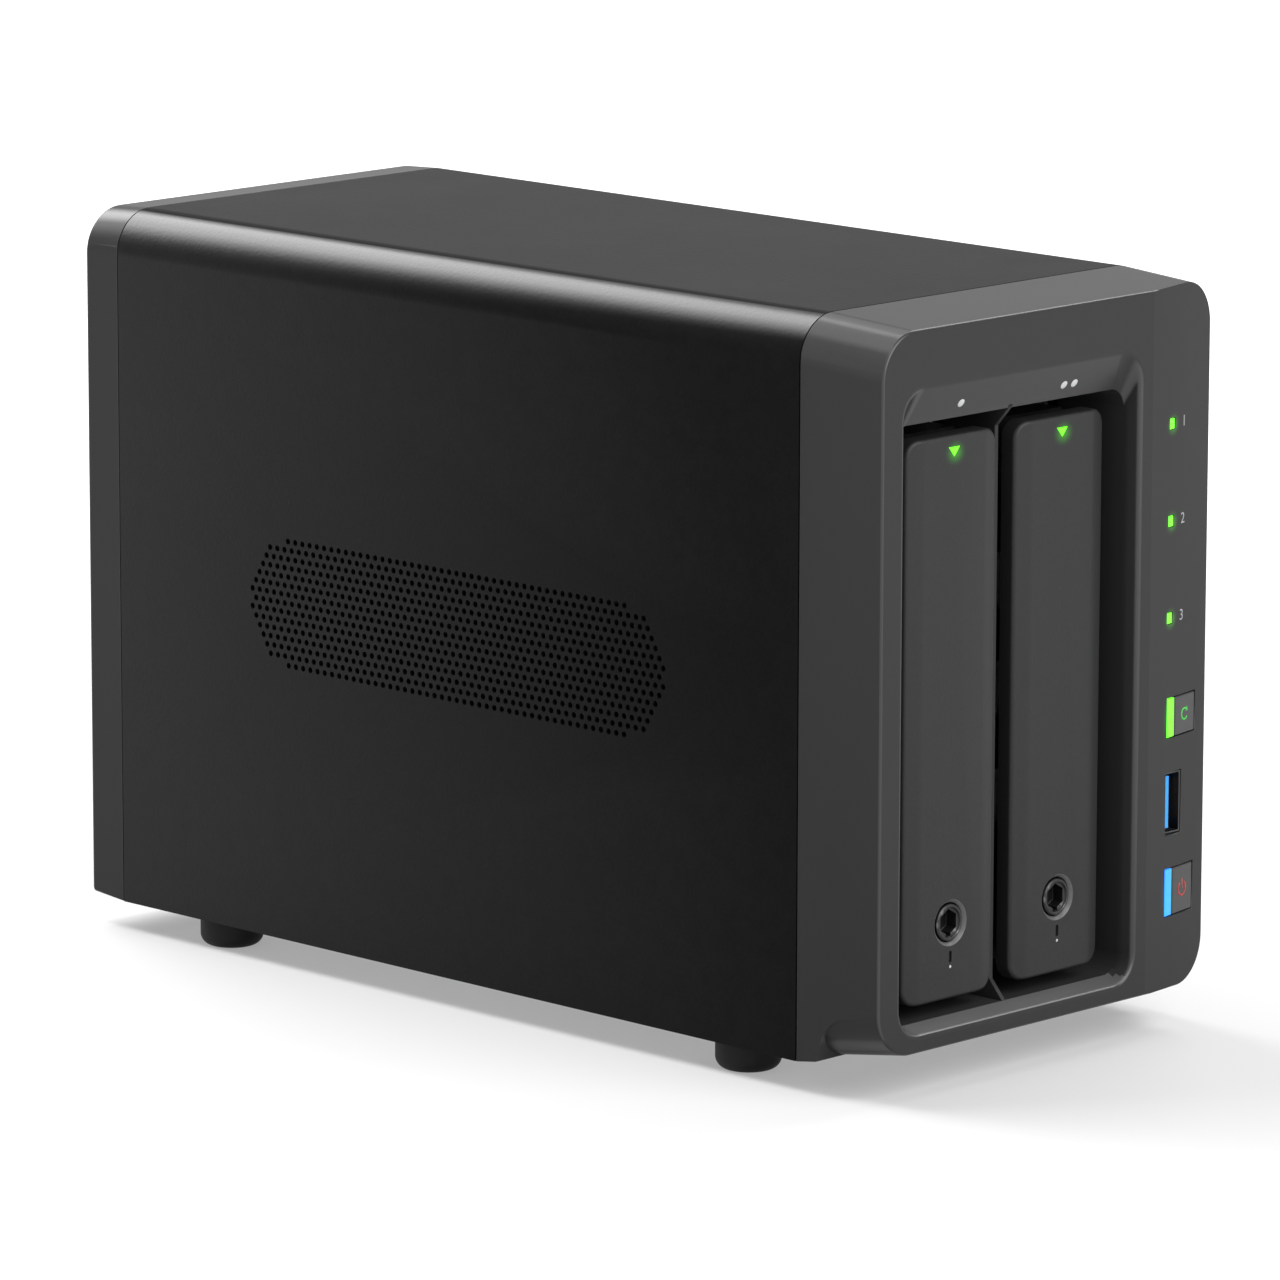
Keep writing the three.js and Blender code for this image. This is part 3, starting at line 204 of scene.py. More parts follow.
def add(tree, kind, **settings):
    node = tree.nodes.new(kind)
    for key, value in settings.items():
        setattr(node, key, value)
    return node


def make_grain_group():
    """Fine moulded or painted grain: a normal, and a speckle mask."""
    group, start, end = new_group(
        "Fine grain",
        [
            ("Scale", "NodeSocketFloat", 1800.0),
            ("Depth", "NodeSocketFloat", 0.00002),
            ("Coarse share", "NodeSocketFloat", 0.4),
        ],
        [("Normal", "NodeSocketVector"), ("Speckle", "NodeSocketFloat")],
    )
    place = add(group, "ShaderNodeTexCoord")
    fine = add(group, "ShaderNodeTexNoise")
    fine.inputs["Detail"].default_value = 3
    cells = add(group, "ShaderNodeTexVoronoi", feature="SMOOTH_F1")
    mix = add(group, "ShaderNodeMix", data_type="FLOAT")
    bump = add(group, "ShaderNodeBump")
    link = group.links.new
    for texture in (fine, cells):
        link(place.outputs["Object"], texture.inputs["Vector"])
        link(start.outputs["Scale"], texture.inputs["Scale"])
    link(start.outputs["Coarse share"], mix.inputs["Factor"])
    link(fine.outputs["Fac"], mix.inputs["A"])
    link(cells.outputs["Distance"], mix.inputs["B"])
    link(mix.outputs["Result"], bump.inputs["Height"])
    link(start.outputs["Depth"], bump.inputs["Distance"])
    link(bump.outputs["Normal"], end.inputs["Normal"])
    link(mix.outputs["Result"], end.inputs["Speckle"])
    return group


def make_tone_group():
    """Slow and fine drift of a colour's lightness."""
    group, start, end = new_group(
        "Tone drift",
        [
            ("Color", "NodeSocketColor", (0.5, 0.5, 0.5, 1.0)),
            ("Slow", "NodeSocketFloat", 0.12),
            ("Fine", "NodeSocketFloat", 0.2),
            ("Speckle", "NodeSocketFloat", 0.5),
        ],
        [("Color", "NodeSocketColor"), ("Drift", "NodeSocketFloat")],
    )
    place = add(group, "ShaderNodeTexCoord")
    slow = add(group, "ShaderNodeTexNoise")
    slow.inputs["Scale"].default_value = 28
    slow.inputs["Detail"].default_value = 4
    slow_gain = add(group, "ShaderNodeMath", operation="MULTIPLY_ADD")
    slow_shift = add(group, "ShaderNodeMath", operation="SUBTRACT")
    slow_shift.inputs[1].default_value = 0.5
    fine_shift = add(group, "ShaderNodeMath", operation="SUBTRACT")
    fine_shift.inputs[1].default_value = 0.5
    fine_gain = add(group, "ShaderNodeMath", operation="MULTIPLY_ADD")
    fine_gain.inputs[2].default_value = 1.0
    tone = add(group, "ShaderNodeMix", data_type="RGBA", blend_type="MULTIPLY")
    tone.inputs["Factor"].default_value = 1.0
    link = group.links.new
    link(place.outputs["Object"], slow.inputs["Vector"])
    link(slow.outputs["Fac"], slow_shift.inputs[0])
    link(start.outputs["Speckle"], fine_shift.inputs[0])
    link(fine_shift.outputs[0], fine_gain.inputs[0])
    link(start.outputs["Fine"], fine_gain.inputs[1])
    link(slow_shift.outputs[0], slow_gain.inputs[0])
    link(start.outputs["Slow"], slow_gain.inputs[1])
    link(fine_gain.outputs[0], slow_gain.inputs[2])
    link(start.outputs["Color"], tone.inputs["A"])
    link(slow_gain.outputs[0], tone.inputs["B"])
    link(tone.outputs["Result"], end.inputs["Color"])
    link(slow.outputs["Fac"], end.inputs["Drift"])
    return group


def make_wear_group():
    """A broken mask along convex edges."""
    group, start, end = new_group(
        "Edge wear",
        [("Amount", "NodeSocketFloat", 0.3), ("Breakup", "NodeSocketFloat", 260.0)],
        [("Mask", "NodeSocketFloat")],
    )
    place = add(group, "ShaderNodeTexCoord")
    shape = add(group, "ShaderNodeNewGeometry")
    edge = add(group, "ShaderNodeMapRange")
    edge.inputs["From Min"].default_value = 0.515
    edge.inputs["From Max"].default_value = 0.6
    noise = add(group, "ShaderNodeTexNoise")
    noise.inputs["Detail"].default_value = 5
    broken = add(group, "ShaderNodeMath", operation="MULTIPLY")
    scaled = add(group, "ShaderNodeMath", operation="MULTIPLY", use_clamp=True)
    link = group.links.new
    link(place.outputs["Object"], noise.inputs["Vector"])
    link(start.outputs["Breakup"], noise.inputs["Scale"])
    link(shape.outputs["Pointiness"], edge.inputs["Value"])
    link(edge.outputs["Result"], broken.inputs[0])
    link(noise.outputs["Fac"], broken.inputs[1])
    link(broken.outputs[0], scaled.inputs[0])
    link(start.outputs["Amount"], scaled.inputs[1])
    link(scaled.outputs[0], end.inputs["Mask"])
    return group


def make_dust_group():
    """A thin, patchy veil on faces that look up."""
    group, start, end = new_group(
        "Dust veil",
        [("Amount", "NodeSocketFloat", 0.1)],
        [("Mask", "NodeSocketFloat")],
    )
    place = add(group, "ShaderNodeTexCoord")
    parts = add(group, "ShaderNodeSeparateXYZ")
    facing = add(group, "ShaderNodeMapRange")
    facing.inputs["From Min"].default_value = 0.3
    facing.inputs["From Max"].default_value = 1.0
    patches = add(group, "ShaderNodeTexNoise")
    patches.inputs["Scale"].default_value = 90
    patches.inputs["Detail"].default_value = 8
    veil = add(group, "ShaderNodeMath", operation="MULTIPLY")
    amount = add(group, "ShaderNodeMath", operation="MULTIPLY", use_clamp=True)
    link = group.links.new
    link(place.outputs["Normal"], parts.inputs["Vector"])
    link(place.outputs["Object"], patches.inputs["Vector"])
    link(parts.outputs["Z"], facing.inputs["Value"])
    link(facing.outputs["Result"], veil.inputs[0])
    link(patches.outputs["Fac"], veil.inputs[1])
    link(veil.outputs[0], amount.inputs[0])
    link(start.outputs["Amount"], amount.inputs[1])
    link(amount.outputs[0], end.inputs["Mask"])
    return group


def make_halo_group():
    """A soft spot of light round one point."""
    group, start, end = new_group(
        "Light halo",
        [
            ("Centre", "NodeSocketVector", (0.0, 0.0, 0.0)),
            ("Reach", "NodeSocketVector", (0.004, 0.004, 0.004)),
            ("Strength", "NodeSocketFloat", 0.3),
        ],
        [("Mask", "NodeSocketFloat")],
    )
    place = add(group, "ShaderNodeTexCoord")
    offset = add(group, "ShaderNodeVectorMath", operation="SUBTRACT")
    share = add(group, "ShaderNodeVectorMath", operation="DIVIDE")
    distance = add(group, "ShaderNodeVectorMath", operation="LENGTH")
    fall = add(group, "ShaderNodeMapRange", interpolation_type="SMOOTHSTEP")
    fall.inputs["To Min"].default_value = 1.0
    fall.inputs["To Max"].default_value = 0.0
    squared = add(group, "ShaderNodeMath", operation="POWER")
    squared.inputs[1].default_value = 2.2
    scaled = add(group, "ShaderNodeMath", operation="MULTIPLY")
    link = group.links.new
    link(place.outputs["Object"], offset.inputs[0])
    link(start.outputs["Centre"], offset.inputs[1])
    link(offset.outputs[0], share.inputs[0])
    link(start.outputs["Reach"], share.inputs[1])
    link(share.outputs[0], distance.inputs[0])
    link(distance.outputs["Value"], fall.inputs["Value"])
    link(fall.outputs["Result"], squared.inputs[0])
    link(squared.outputs[0], scaled.inputs[0])
    link(start.outputs["Strength"], scaled.inputs[1])
    link(scaled.outputs[0], end.inputs["Mask"])
    return group


GROUPS = {}
MATERIALS = {}


def place_group(tree, name, **values):
    node = add(tree, "ShaderNodeGroup", node_tree=GROUPS[name])
    for label, value in values.items():
        node.inputs[label.replace("_", " ")].default_value = value
    return node


# ---------- materials ----------
# Specular level by how far a face turns from the eye: 0 square on, 1 edge on.
COVER_GLOSS = ((0.29, 0.02), (0.43, 0.36), (0.57, 0.36), (0.68, 0.006))
BEZEL_GLOSS = ((0.18, 0.5), (0.27, 0.1), (0.45, 0.1), (0.52, 0.32), (0.58, 0.32), (0.72, 0.03))
STRIP_GLOSS = ((0.2, 0.5), (0.36, 0.13))
# Painted light on two parts of the front bezel: the sloping strip is a darker copy of the bezel colour for
# painted shade, and the recess lip a lighter copy for a painted highlight.
STRIP_SHADE_TONE = 0.5
LIP_HIGHLIGHT_TONE = 3.2


def surface(
    name,
    colour,
    roughness,
    metallic=0.0,
    specular=0.5,
    gloss_by_angle=(),
    grain=1800.0,
    depth=0.02,
    coarse=0.4,
    slow=0.12,
    fine=0.25,
    wear=0.15,
    wear_colour=(0.25, 0.25, 0.25),
    dust=0.04,
    spread=0.12,
    coat=0.0,
):
    """A moulded, painted or metal surface with grain, tone drift, edge wear and dust."""
    material = bpy.data.materials.new(name)
    material.use_nodes = True
    material.diffuse_color = (*colour, 1.0)
    tree = material.node_tree
    shader = tree.nodes["Principled BSDF"]
    shader.inputs["Metallic"].default_value = metallic
    shader.inputs["Specular IOR Level"].default_value = specular
    shader.inputs["Coat Weight"].default_value = coat
    link = tree.links.new
    if gloss_by_angle:
        facing = add(tree, "ShaderNodeLayerWeight")
        gloss = add(tree, "ShaderNodeValToRGB")
        stops = gloss.color_ramp.elements
        for index, (place, value) in enumerate(gloss_by_angle):
            stop = stops[index] if index < 2 else stops.new(place)
            stop.position = place
            stop.color = (value, value, value, 1)
        link(facing.outputs["Facing"], gloss.inputs["Fac"])
        link(gloss.outputs["Color"], shader.inputs["Specular IOR Level"])
    grain_node = place_group(tree, "Fine grain", Scale=grain, Depth=depth * MM, Coarse_share=coarse)
    tone = place_group(tree, "Tone drift", Color=(*colour, 1.0), Slow=slow, Fine=fine)
    edge = place_group(tree, "Edge wear", Amount=wear)
    veil = place_group(tree, "Dust veil", Amount=dust)
    worn = add(tree, "ShaderNodeMix", data_type="RGBA")
    worn.inputs["B"].default_value = (*wear_colour, 1.0)
    dusty = add(tree, "ShaderNodeMix", data_type="RGBA")
    dusty.inputs["B"].default_value = (0.32, 0.31, 0.29, 1.0)
    rough = add(tree, "ShaderNodeMapRange")
    rough.inputs["To Min"].default_value = roughness - spread / 2
    rough.inputs["To Max"].default_value = roughness + spread / 2
    link(grain_node.outputs["Speckle"], tone.inputs["Speckle"])
    link(tone.outputs["Color"], worn.inputs["A"])
    link(edge.outputs["Mask"], worn.inputs["Factor"])
    link(worn.outputs["Result"], dusty.inputs["A"])
    link(veil.outputs["Mask"], dusty.inputs["Factor"])
    link(dusty.outputs["Result"], shader.inputs["Base Color"])
    link(tone.outputs["Drift"], rough.inputs["Value"])
    link(rough.outputs["Result"], shader.inputs["Roughness"])
    link(grain_node.outputs["Normal"], shader.inputs["Normal"])
    MATERIALS[name] = material
    return material


def add_halos(material, spots):
    """Light from the lit pipes spilling on the surface round them."""
    tree = material.node_tree
    shader = tree.nodes["Principled BSDF"]
    total = None
    for colour, centre, reach, strength in spots:
        halo = place_group(tree, "Light halo", Centre=centre, Reach=reach, Strength=strength)
        tint = add(tree, "ShaderNodeMix", data_type="RGBA")
        tint.inputs["A"].default_value = (0, 0, 0, 1)
        tint.inputs["B"].default_value = (*colour, 1.0)
        tree.links.new(halo.outputs["Mask"], tint.inputs["Factor"])
        if total is None:
            total = tint.outputs["Result"]
            continue
        both = add(tree, "ShaderNodeMix", data_type="RGBA", blend_type="ADD")
        both.inputs["Factor"].default_value = 1.0
        tree.links.new(total, both.inputs["A"])
        tree.links.new(tint.outputs["Result"], both.inputs["B"])
        total = both.outputs["Result"]
    tree.links.new(total, shader.inputs["Emission Color"])
    shader.inputs["Emission Strength"].default_value = 1.0


def lit(name, colour, strength):
    """A lit light pipe."""
    material = bpy.data.materials.new(name)
    material.use_nodes = True
    material.diffuse_color = (*colour, 1.0)
    tree = material.node_tree
    shader = tree.nodes["Principled BSDF"]
    shader.inputs["Roughness"].default_value = 0.3
    shader.inputs["Emission Strength"].default_value = strength
    grain_node = place_group(tree, "Fine grain", Scale=900.0, Depth=0.01 * MM)
    tone = place_group(tree, "Tone drift", Color=(*colour, 1.0), Slow=0.1, Fine=0.15)
    link = tree.links.new
    link(grain_node.outputs["Speckle"], tone.inputs["Speckle"])
    link(tone.outputs["Color"], shader.inputs["Base Color"])
    link(tone.outputs["Color"], shader.inputs["Emission Color"])
    link(grain_node.outputs["Normal"], shader.inputs["Normal"])
    MATERIALS[name] = material
    return material


def make_materials(colours):
    GROUPS["Fine grain"] = make_grain_group()
    GROUPS["Tone drift"] = make_tone_group()
    GROUPS["Edge wear"] = make_wear_group()
    GROUPS["Dust veil"] = make_dust_group()
    GROUPS["Light halo"] = make_halo_group()
    green = tuple(colours.green)
    blue = tuple(colours.blue)
    surface(
        "Cover paint", tuple(colours.cover), 0.32, gloss_by_angle=COVER_GLOSS, grain=1500, depth=0.04,
        coarse=0.5, slow=0.05, fine=0.7, wear=0.02, dust=0.01, spread=0.04,
    )
    surface(
        "Bezel finish", tuple(colours.bezel), 0.32, gloss_by_angle=BEZEL_GLOSS, grain=2600,
        depth=0.006, slow=0.04, fine=0.15, wear=0.05, dust=0.008, spread=0.04,
    )
    # Darker copy of the bezel colour on the sloping strip: painted shade.
    surface(
        "Strip painted shade", tuple(STRIP_SHADE_TONE * part for part in colours.bezel), 0.34, gloss_by_angle=STRIP_GLOSS,
        grain=2600, depth=0.006, slow=0.04, fine=0.15, wear=0.05, dust=0.0, spread=0.04,
    )
    # Lighter copy of the bezel colour on the recess lip and the lock chamfers: painted highlight.
    surface(
        "Lip painted highlight", tuple(LIP_HIGHLIGHT_TONE * part for part in colours.bezel), 0.3, specular=0.4, grain=2600,
        depth=0.006, slow=0.04, fine=0.15, wear=0.05, dust=0.0, spread=0.04,
    )
    surface(
        "Tray plastic", tuple(colours.tray), 0.45, specular=0.26, grain=1700, depth=0.03,
        slow=0.05, fine=0.5, wear=0.12, dust=0.005, spread=0.04,
    )
    surface("Black plastic", (0.006, 0.006, 0.006), 0.5, specular=0.2, depth=0.03, wear=0.05)
    surface("Foot rubber", (0.004, 0.004, 0.004), 0.6, specular=0.25, grain=1300, depth=0.04, wear=0.0)
    surface(
        "Zinc sheet", (0.42, 0.43, 0.44), 0.42, metallic=1.0, grain=420, depth=0.01, coarse=0.9,
        slow=0.25, wear=0.1, dust=0.05,
    )
    surface(
        "Panel coat", (0.016, 0.016, 0.016), 0.55, specular=0.35, grain=1900, depth=0.06, coarse=0.8,
        wear=0.0,
    )
    surface("Black oxide", (0.03, 0.03, 0.032), 0.32, metallic=0.8, wear=0.35, wear_colour=(0.5, 0.5, 0.5))
    surface(
        "Plated steel", (0.6, 0.6, 0.59), 0.25, metallic=1.0, grain=700, depth=0.006, wear=0.0, dust=0.02,
    )
    surface("Contact gold", (0.85, 0.55, 0.2), 0.22, metallic=1.0, grain=900, depth=0.003, wear=0.0)
    surface("Dark nickel", (0.05, 0.05, 0.052), 0.35, metallic=0.9, grain=1400, depth=0.006, wear=0.3)
    surface("Blue insert", (0.02, 0.38, 1.0), 0.3, grain=1500, depth=0.008, wear=0.0, dust=0.0)
    surface(
        "Circuit board", (0.008, 0.085, 0.03), 0.35, grain=600, depth=0.01, coarse=0.8, slow=0.3,
        wear=0.0, coat=0.3,
    )
    surface("Chip plastic", (0.012, 0.012, 0.013), 0.45, grain=2200, depth=0.01)
    surface(
        "Cast aluminium", (0.5, 0.51, 0.52), 0.42, metallic=1.0, grain=900, depth=0.05, coarse=0.5,
        slow=0.2, wear=0.2, wear_colour=(0.8, 0.8, 0.8),
    )
    surface("Machined lid", (0.62, 0.63, 0.64), 0.3, metallic=1.0, grain=2400, depth=0.006, slow=0.1)
    # White of the printed bay dots, also used for the painted highlight below each lock slot.
    surface("White print and painted glint", (0.6, 0.61, 0.62), 0.5, grain=2500, depth=0.004, fine=0.1, wear=0.0, dust=0.0)
    surface("Printed grey", (0.34, 0.35, 0.36), 0.5, grain=2500, depth=0.004, fine=0.1, wear=0.0, dust=0.0)
    surface("Red mark", (0.45, 0.016, 0.012), 0.4, grain=2500, depth=0.004, fine=0.1, wear=0.0, dust=0.0)
    surface("Bright green mark", (0.03, 0.55, 0.04), 0.4, grain=2500, depth=0.004, fine=0.1, wear=0.0)
    lit("Green light", green, 1.15)
    lit("Blue light", blue, 1.1)
    spots = []
    for name in INDICATORS:
        low, high = strip_limits(name)
        centre = STRIP @ Vector(((low.x + high.x) / 2 + 0.2, 0, (low.z + high.z) / 2 - 0.2))
        spots.append((green, centre * MM, (0.0034, 0.0034, 0.0034), 0.35))
    for name, (bar, _) in BUTTONS.items():
        low, high = strip_limits(bar)
        centre = STRIP @ Vector((low.x, 0, (low.z + high.z) / 2))
        glow = green if name == "copy_button" else blue
        spots.append((glow, centre * MM, (0.0026, 0.003, 0.0075), 0.12))
    add_halos(MATERIALS["Strip painted shade"], spots)
    spots = []
    for number in TRAYS:
        low, high = limits(f"tray_{number}_light")
        centre = Vector((tray_x[number] + 0.15, low.y, (low.z + high.z) / 2 - 0.1))
        spots.append((green, centre * MM, (0.0042, 0.0042, 0.0036), 0.3))
    add_halos(MATERIALS["Tray plastic"], spots)


# ---------- mesh code ----------
def object_from(name, bm):
    """Turns millimetre mesh code into an object in metres, with its faces outwards."""
    bmesh.ops.remove_doubles(bm, verts=bm.verts, dist=1e-5)
    bmesh.ops.recalc_face_normals(bm, faces=bm.faces)
    bmesh.ops.scale(bm, vec=(MM, MM, MM), verts=bm.verts)
    mesh = bpy.data.meshes.new(name)
    bm.to_mesh(mesh)
    bm.free()
    mesh.shade_smooth()
    made = bpy.data.objects.new(name, mesh)
    bpy.context.scene.collection.objects.link(made)
    return made


def edge_round(radius, steps=10):
    """(setback, inset) pairs of a quarter-round edge, from its side to its face."""
    turns = [math.radians(90 * step / steps) for step in range(steps + 1)]
    return [(radius * (1 - math.sin(turn)), radius * (1 - math.cos(turn))) for turn in turns]


def flare(run, depth, radius, below):
    """Outward reach, at a depth below the face, of a slope that rolls on to that face."""
    turn = math.atan2(depth, run)
    tangent = radius * math.tan(turn / 2)
    if below > tangent * math.sin(turn):
        return run * (1 - below / depth)
    return run + tangent - math.sqrt(max(radius**2 - (radius - below) ** 2, 0))


def rounded_loop(rect, low, high, y, arc=ARC):
    """Points round a rectangle in (x, z), with its own radii at the bottom and the top."""
    x0, x1, z0, z1 = rect
    corners = (
        (x1 - low, z0 + low, low, -90),
        (x1 - high, z1 - high, high, 0),
        (x0 + high, z1 - high, high, 90),
        (x0 + low, z0 + low, low, 180),
    )
    points = []
    for cx, cz, radius, start in corners:
        for step in range(arc + 1):
            turn = math.radians(start + 90 * step / arc)
            points.append(Vector((cx + radius * math.cos(turn), y, cz + radius * math.sin(turn))))
    return points


def loft(name, loops, transform=None):
    """A closed solid through loops of equal length."""
    bm = bmesh.new()
    rings = [[bm.verts.new(point) for point in loop] for loop in loops]
    for ring, after in zip(rings, rings[1:]):
        for i in range(len(ring)):
            j = (i + 1) % len(ring)
            bm.faces.new((ring[i], ring[j], after[j], after[i]))
    bm.faces.new(rings[0])
    bm.faces.new(reversed(rings[-1]))
    if transform is not None:
        bmesh.ops.transform(bm, matrix=transform, verts=bm.verts)
    return object_from(name, bm)


def grown(rect, by):
    return (rect[0] - by, rect[1] + by, rect[2] - by, rect[3] + by)


def between(a, b, t):
    return tuple(p + (q - p) * t for p, q in zip(a, b))


def prism(name, rect, y0, y1, low, high=None, arc=ARC):
    high = low if high is None else high
    return loft(name, [rounded_loop(rect, low, high, y, arc) for y in (y0, y1)])


def slab(name, x0, x1, y0, y1, z0, z1, transform=None):
    loops = [
        [Vector((x, y, z)) for x, z in ((x0, z0), (x1, z0), (x1, z1), (x0, z1))]
        for y in (y0, y1)
    ]
    return loft(name, loops, transform)


def extruded(name, outline, start, end, transform=None):
    """An outline of (u, v) points; start and end each turn (u, v) into a place."""
    loops = [[Vector(place(u, v)) for u, v in outline] for place in (start, end)]
    return loft(name, loops, transform)


def rod(name, centre, direction, length, radius, sides=48):
    """A round bar from centre along direction."""
    axis = Vector(direction).normalized()
    turn = axis.to_track_quat("Z", "Y").to_matrix()
    loops = []
    for along in (0, length):
        loop = []
        for step in range(sides):
            angle = 2 * math.pi * step / sides
            offset = turn @ Vector((radius * math.cos(angle), radius * math.sin(angle), along))
            loop.append(Vector(centre) + offset)
        loops.append(loop)
    return loft(name, loops)


def turned(name, centre, direction, profile, sides=48):
    """A solid of revolution from (radius, along) points, whose ends are on the axis."""
    axis = Vector(direction).normalized()
    turn = axis.to_track_quat("Z", "Y").to_matrix()
    bm = bmesh.new()
    rings = []
    for radius, along in profile:
        if radius == 0:
            rings.append([bm.verts.new(Vector(centre) + turn @ Vector((0, 0, along)))])
            continue
        ring = []
        for step in range(sides):
            angle = 2 * math.pi * step / sides
            offset = turn @ Vector((radius * math.cos(angle), radius * math.sin(angle), along))
            ring.append(bm.verts.new(Vector(centre) + offset))
        rings.append(ring)
    for ring, after in zip(rings, rings[1:]):
        for i in range(sides):
            j = (i + 1) % sides
            corners = [ring[i % len(ring)], ring[j % len(ring)], after[j % len(after)], after[i % len(after)]]
            face = list(dict.fromkeys(corners))
            if len(face) > 2:
                bm.faces.new(face)
    return object_from(name, bm)


def bake_modifiers(piece):
    graph = bpy.context.evaluated_depsgraph_get()
    made = bpy.data.meshes.new_from_object(piece.evaluated_get(graph))
    piece.modifiers.clear()
    old = piece.data
    piece.data = made
    bpy.data.meshes.remove(old)
    made.shade_smooth()


def combine(piece, tools, operation):
    for tool in tools:
        step = piece.modifiers.new("combine", "BOOLEAN")
        step.solver = "EXACT"
        step.operation = operation
        step.object = tool
    bake_modifiers(piece)
    for tool in tools:
        bpy.data.objects.remove(tool)
    return piece


def cut(piece, *tools):
    return combine(piece, tools, "DIFFERENCE")


def fuse(piece, *tools):
    return combine(piece, tools, "UNION")


def common(piece, *tools):
    return combine(piece, tools, "INTERSECT")


def merged(name, pieces):
    """Several separate solids as one object."""
    bm = bmesh.new()
    for piece in pieces:
        bm.from_mesh(piece.data)
    mesh = bpy.data.meshes.new(name)
    bm.to_mesh(mesh)
    bm.free()
    for piece in pieces:
        bpy.data.objects.remove(piece)
    made = bpy.data.objects.new(name, mesh)
    bpy.context.scene.collection.objects.link(made)
    return made


def soften(piece, width, sharp=26, segments=3, rule=None, rolled=None):
    """Rounds the edges sharper than an angle. rule(middle) may scale or drop an edge.
    rolled(middle) is true where a modelled rounding stays smooth.
    """
    bm = bmesh.new()
    bm.from_mesh(piece.data)
    bmesh.ops.remove_doubles(bm, verts=bm.verts, dist=0.004 * MM)
    bmesh.ops.dissolve_degenerate(bm, edges=bm.edges, dist=0.004 * MM)
    layer = bm.edges.layers.float.new("bevel_weight_edge")
    for edge in bm.edges:
        angle = math.degrees(edge.calc_face_angle(0.0))
        middle = (edge.verts[0].co + edge.verts[1].co) / 2 / MM
        weight = 0.0
        if angle > sharp:
            weight = 1.0 if rule is None else rule(middle)
        edge[layer] = weight
        smooth = angle < LINE_ANGLE or (rolled is not None and angle < 40 and rolled(middle))
        edge.smooth = weight > 0 or smooth
    bm.to_mesh(piece.data)
    bm.free()
    bevel = piece.modifiers.new("soft edges", "BEVEL")
    bevel.limit_method = "WEIGHT"
    bevel.width = width
    bevel.segments = segments
    bevel.use_clamp_overlap = False
    bevel.face_strength_mode = "FSTR_ALL"
    normals = piece.modifiers.new("flat faces", "WEIGHTED_NORMAL")
    normals.weight = 100
    normals.use_face_influence = True
    normals.keep_sharp = True
    return piece


def dress(node, material, width=0.15 * MM, sharp=30, segments=2):
    """Gives a CAD node its material and slightly rounded edges."""
    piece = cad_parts[node]
    piece.data.materials.clear()
    piece.data.materials.append(MATERIALS[material])
    piece.data.shade_smooth()
    planar = piece.modifiers.new("whole faces", "DECIMATE")
    planar.decimate_type = "DISSOLVE"
    planar.angle_limit = math.radians(1)
    bevel = piece.modifiers.new("soft edges", "BEVEL")
    bevel.limit_method = "ANGLE"
    bevel.angle_limit = math.radians(sharp)
    bevel.width = width
    bevel.segments = segments
    bevel.harden_normals = True
    normals = piece.modifiers.new("flat faces", "WEIGHTED_NORMAL")
    normals.keep_sharp = True
    return piece


def finish(piece, material, body, slot, *nodes):
    """Material and body of a made piece, and the nodes it stands for. The slot argument is not used."""
    piece.data.materials.clear()
    piece.data.materials.append(MATERIALS[material])
    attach(piece, body)
    if nodes:
        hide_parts(*nodes)
    return piece


# ---------- outer cover ----------
VENT_Y = (-58.0, 65.0)
VENT_Z = (65.0, 93.5)
VENT_ROW = 0.87  # row height over pitch


def vent_layout(pitch):
    columns = round((VENT_Y[1] - VENT_Y[0]) / pitch)
    rows = round((VENT_Z[1] - VENT_Z[0]) / (pitch * VENT_ROW))
    return columns, rows


def vent_grid(bm, x, pitch, radius, field):
    """One skin of the vent: lattice vertices and the rim of each hole."""
    columns, rows = vent_layout(pitch)
    y0, z0, height = field
    lattice = {}

    def at(i, j):
        if (i, j) not in lattice:
            lattice[i, j] = bm.verts.new((x, y0 + i * pitch / 2, z0 + j * height / 2))
        return lattice[i, j]

    rims = []
    for row in range(rows):
        j = 2 * row
        shift = row % 2
        if shift:
            for i in (0, 2 * columns - 1):
                corners = ((i, j), (i + 1, j), (i + 1, j + 1), (i + 1, j + 2), (i, j + 2), (i, j + 1))
                bm.faces.new([at(*corner) for corner in corners])
        for column in range(columns - shift):
            i = 2 * column + shift
            border = [
                at(i + a, j + b)
                for a, b in ((2, 1), (2, 2), (1, 2), (0, 2), (0, 1), (0, 0), (1, 0), (2, 0))
            ]
            along = (i + 1) / (2 * columns)
            across = (row + 0.5) / rows
            if not in_vent(along * columns * pitch, across * rows * height, columns * pitch, rows * height):
                bm.faces.new(border)
                continue
            cy = y0 + (i + 1) * pitch / 2
            cz = z0 + (j + 1) * height / 2
            rim = [
                bm.verts.new(
                    (x, cy + radius * math.cos(k * math.pi / 4), cz + radius * math.sin(k * math.pi / 4))
                )
                for k in range(8)
            ]
            for k in range(8):
                n = (k + 1) % 8
                bm.faces.new((border[k], border[n], rim[n], rim[k]))
            rims.append(rim)
    return lattice, rims


def in_vent(u, v, length, height):
    """Holes fill a bar with round ends."""
    radius = height / 2
    nearest = min(max(u, radius), length - radius)
    return math.hypot(u - nearest, v - radius) < radius - 0.5


def cover_profile(inset):
    """Half-open outline from the bottom left over the top to the bottom right."""
    half = SIDE - inset
    top = TOP - inset
    radius = CORNER - inset
    points = []
    for hand, start in ((-1, 180), (1, 90)):
        for step in range(ARC + 1):
            turn = math.radians(start - 90 * step / ARC)
            across = hand * (half - radius) + radius * math.cos(turn)
            points.append((across, top - radius + radius * math.sin(turn)))
    return half, points


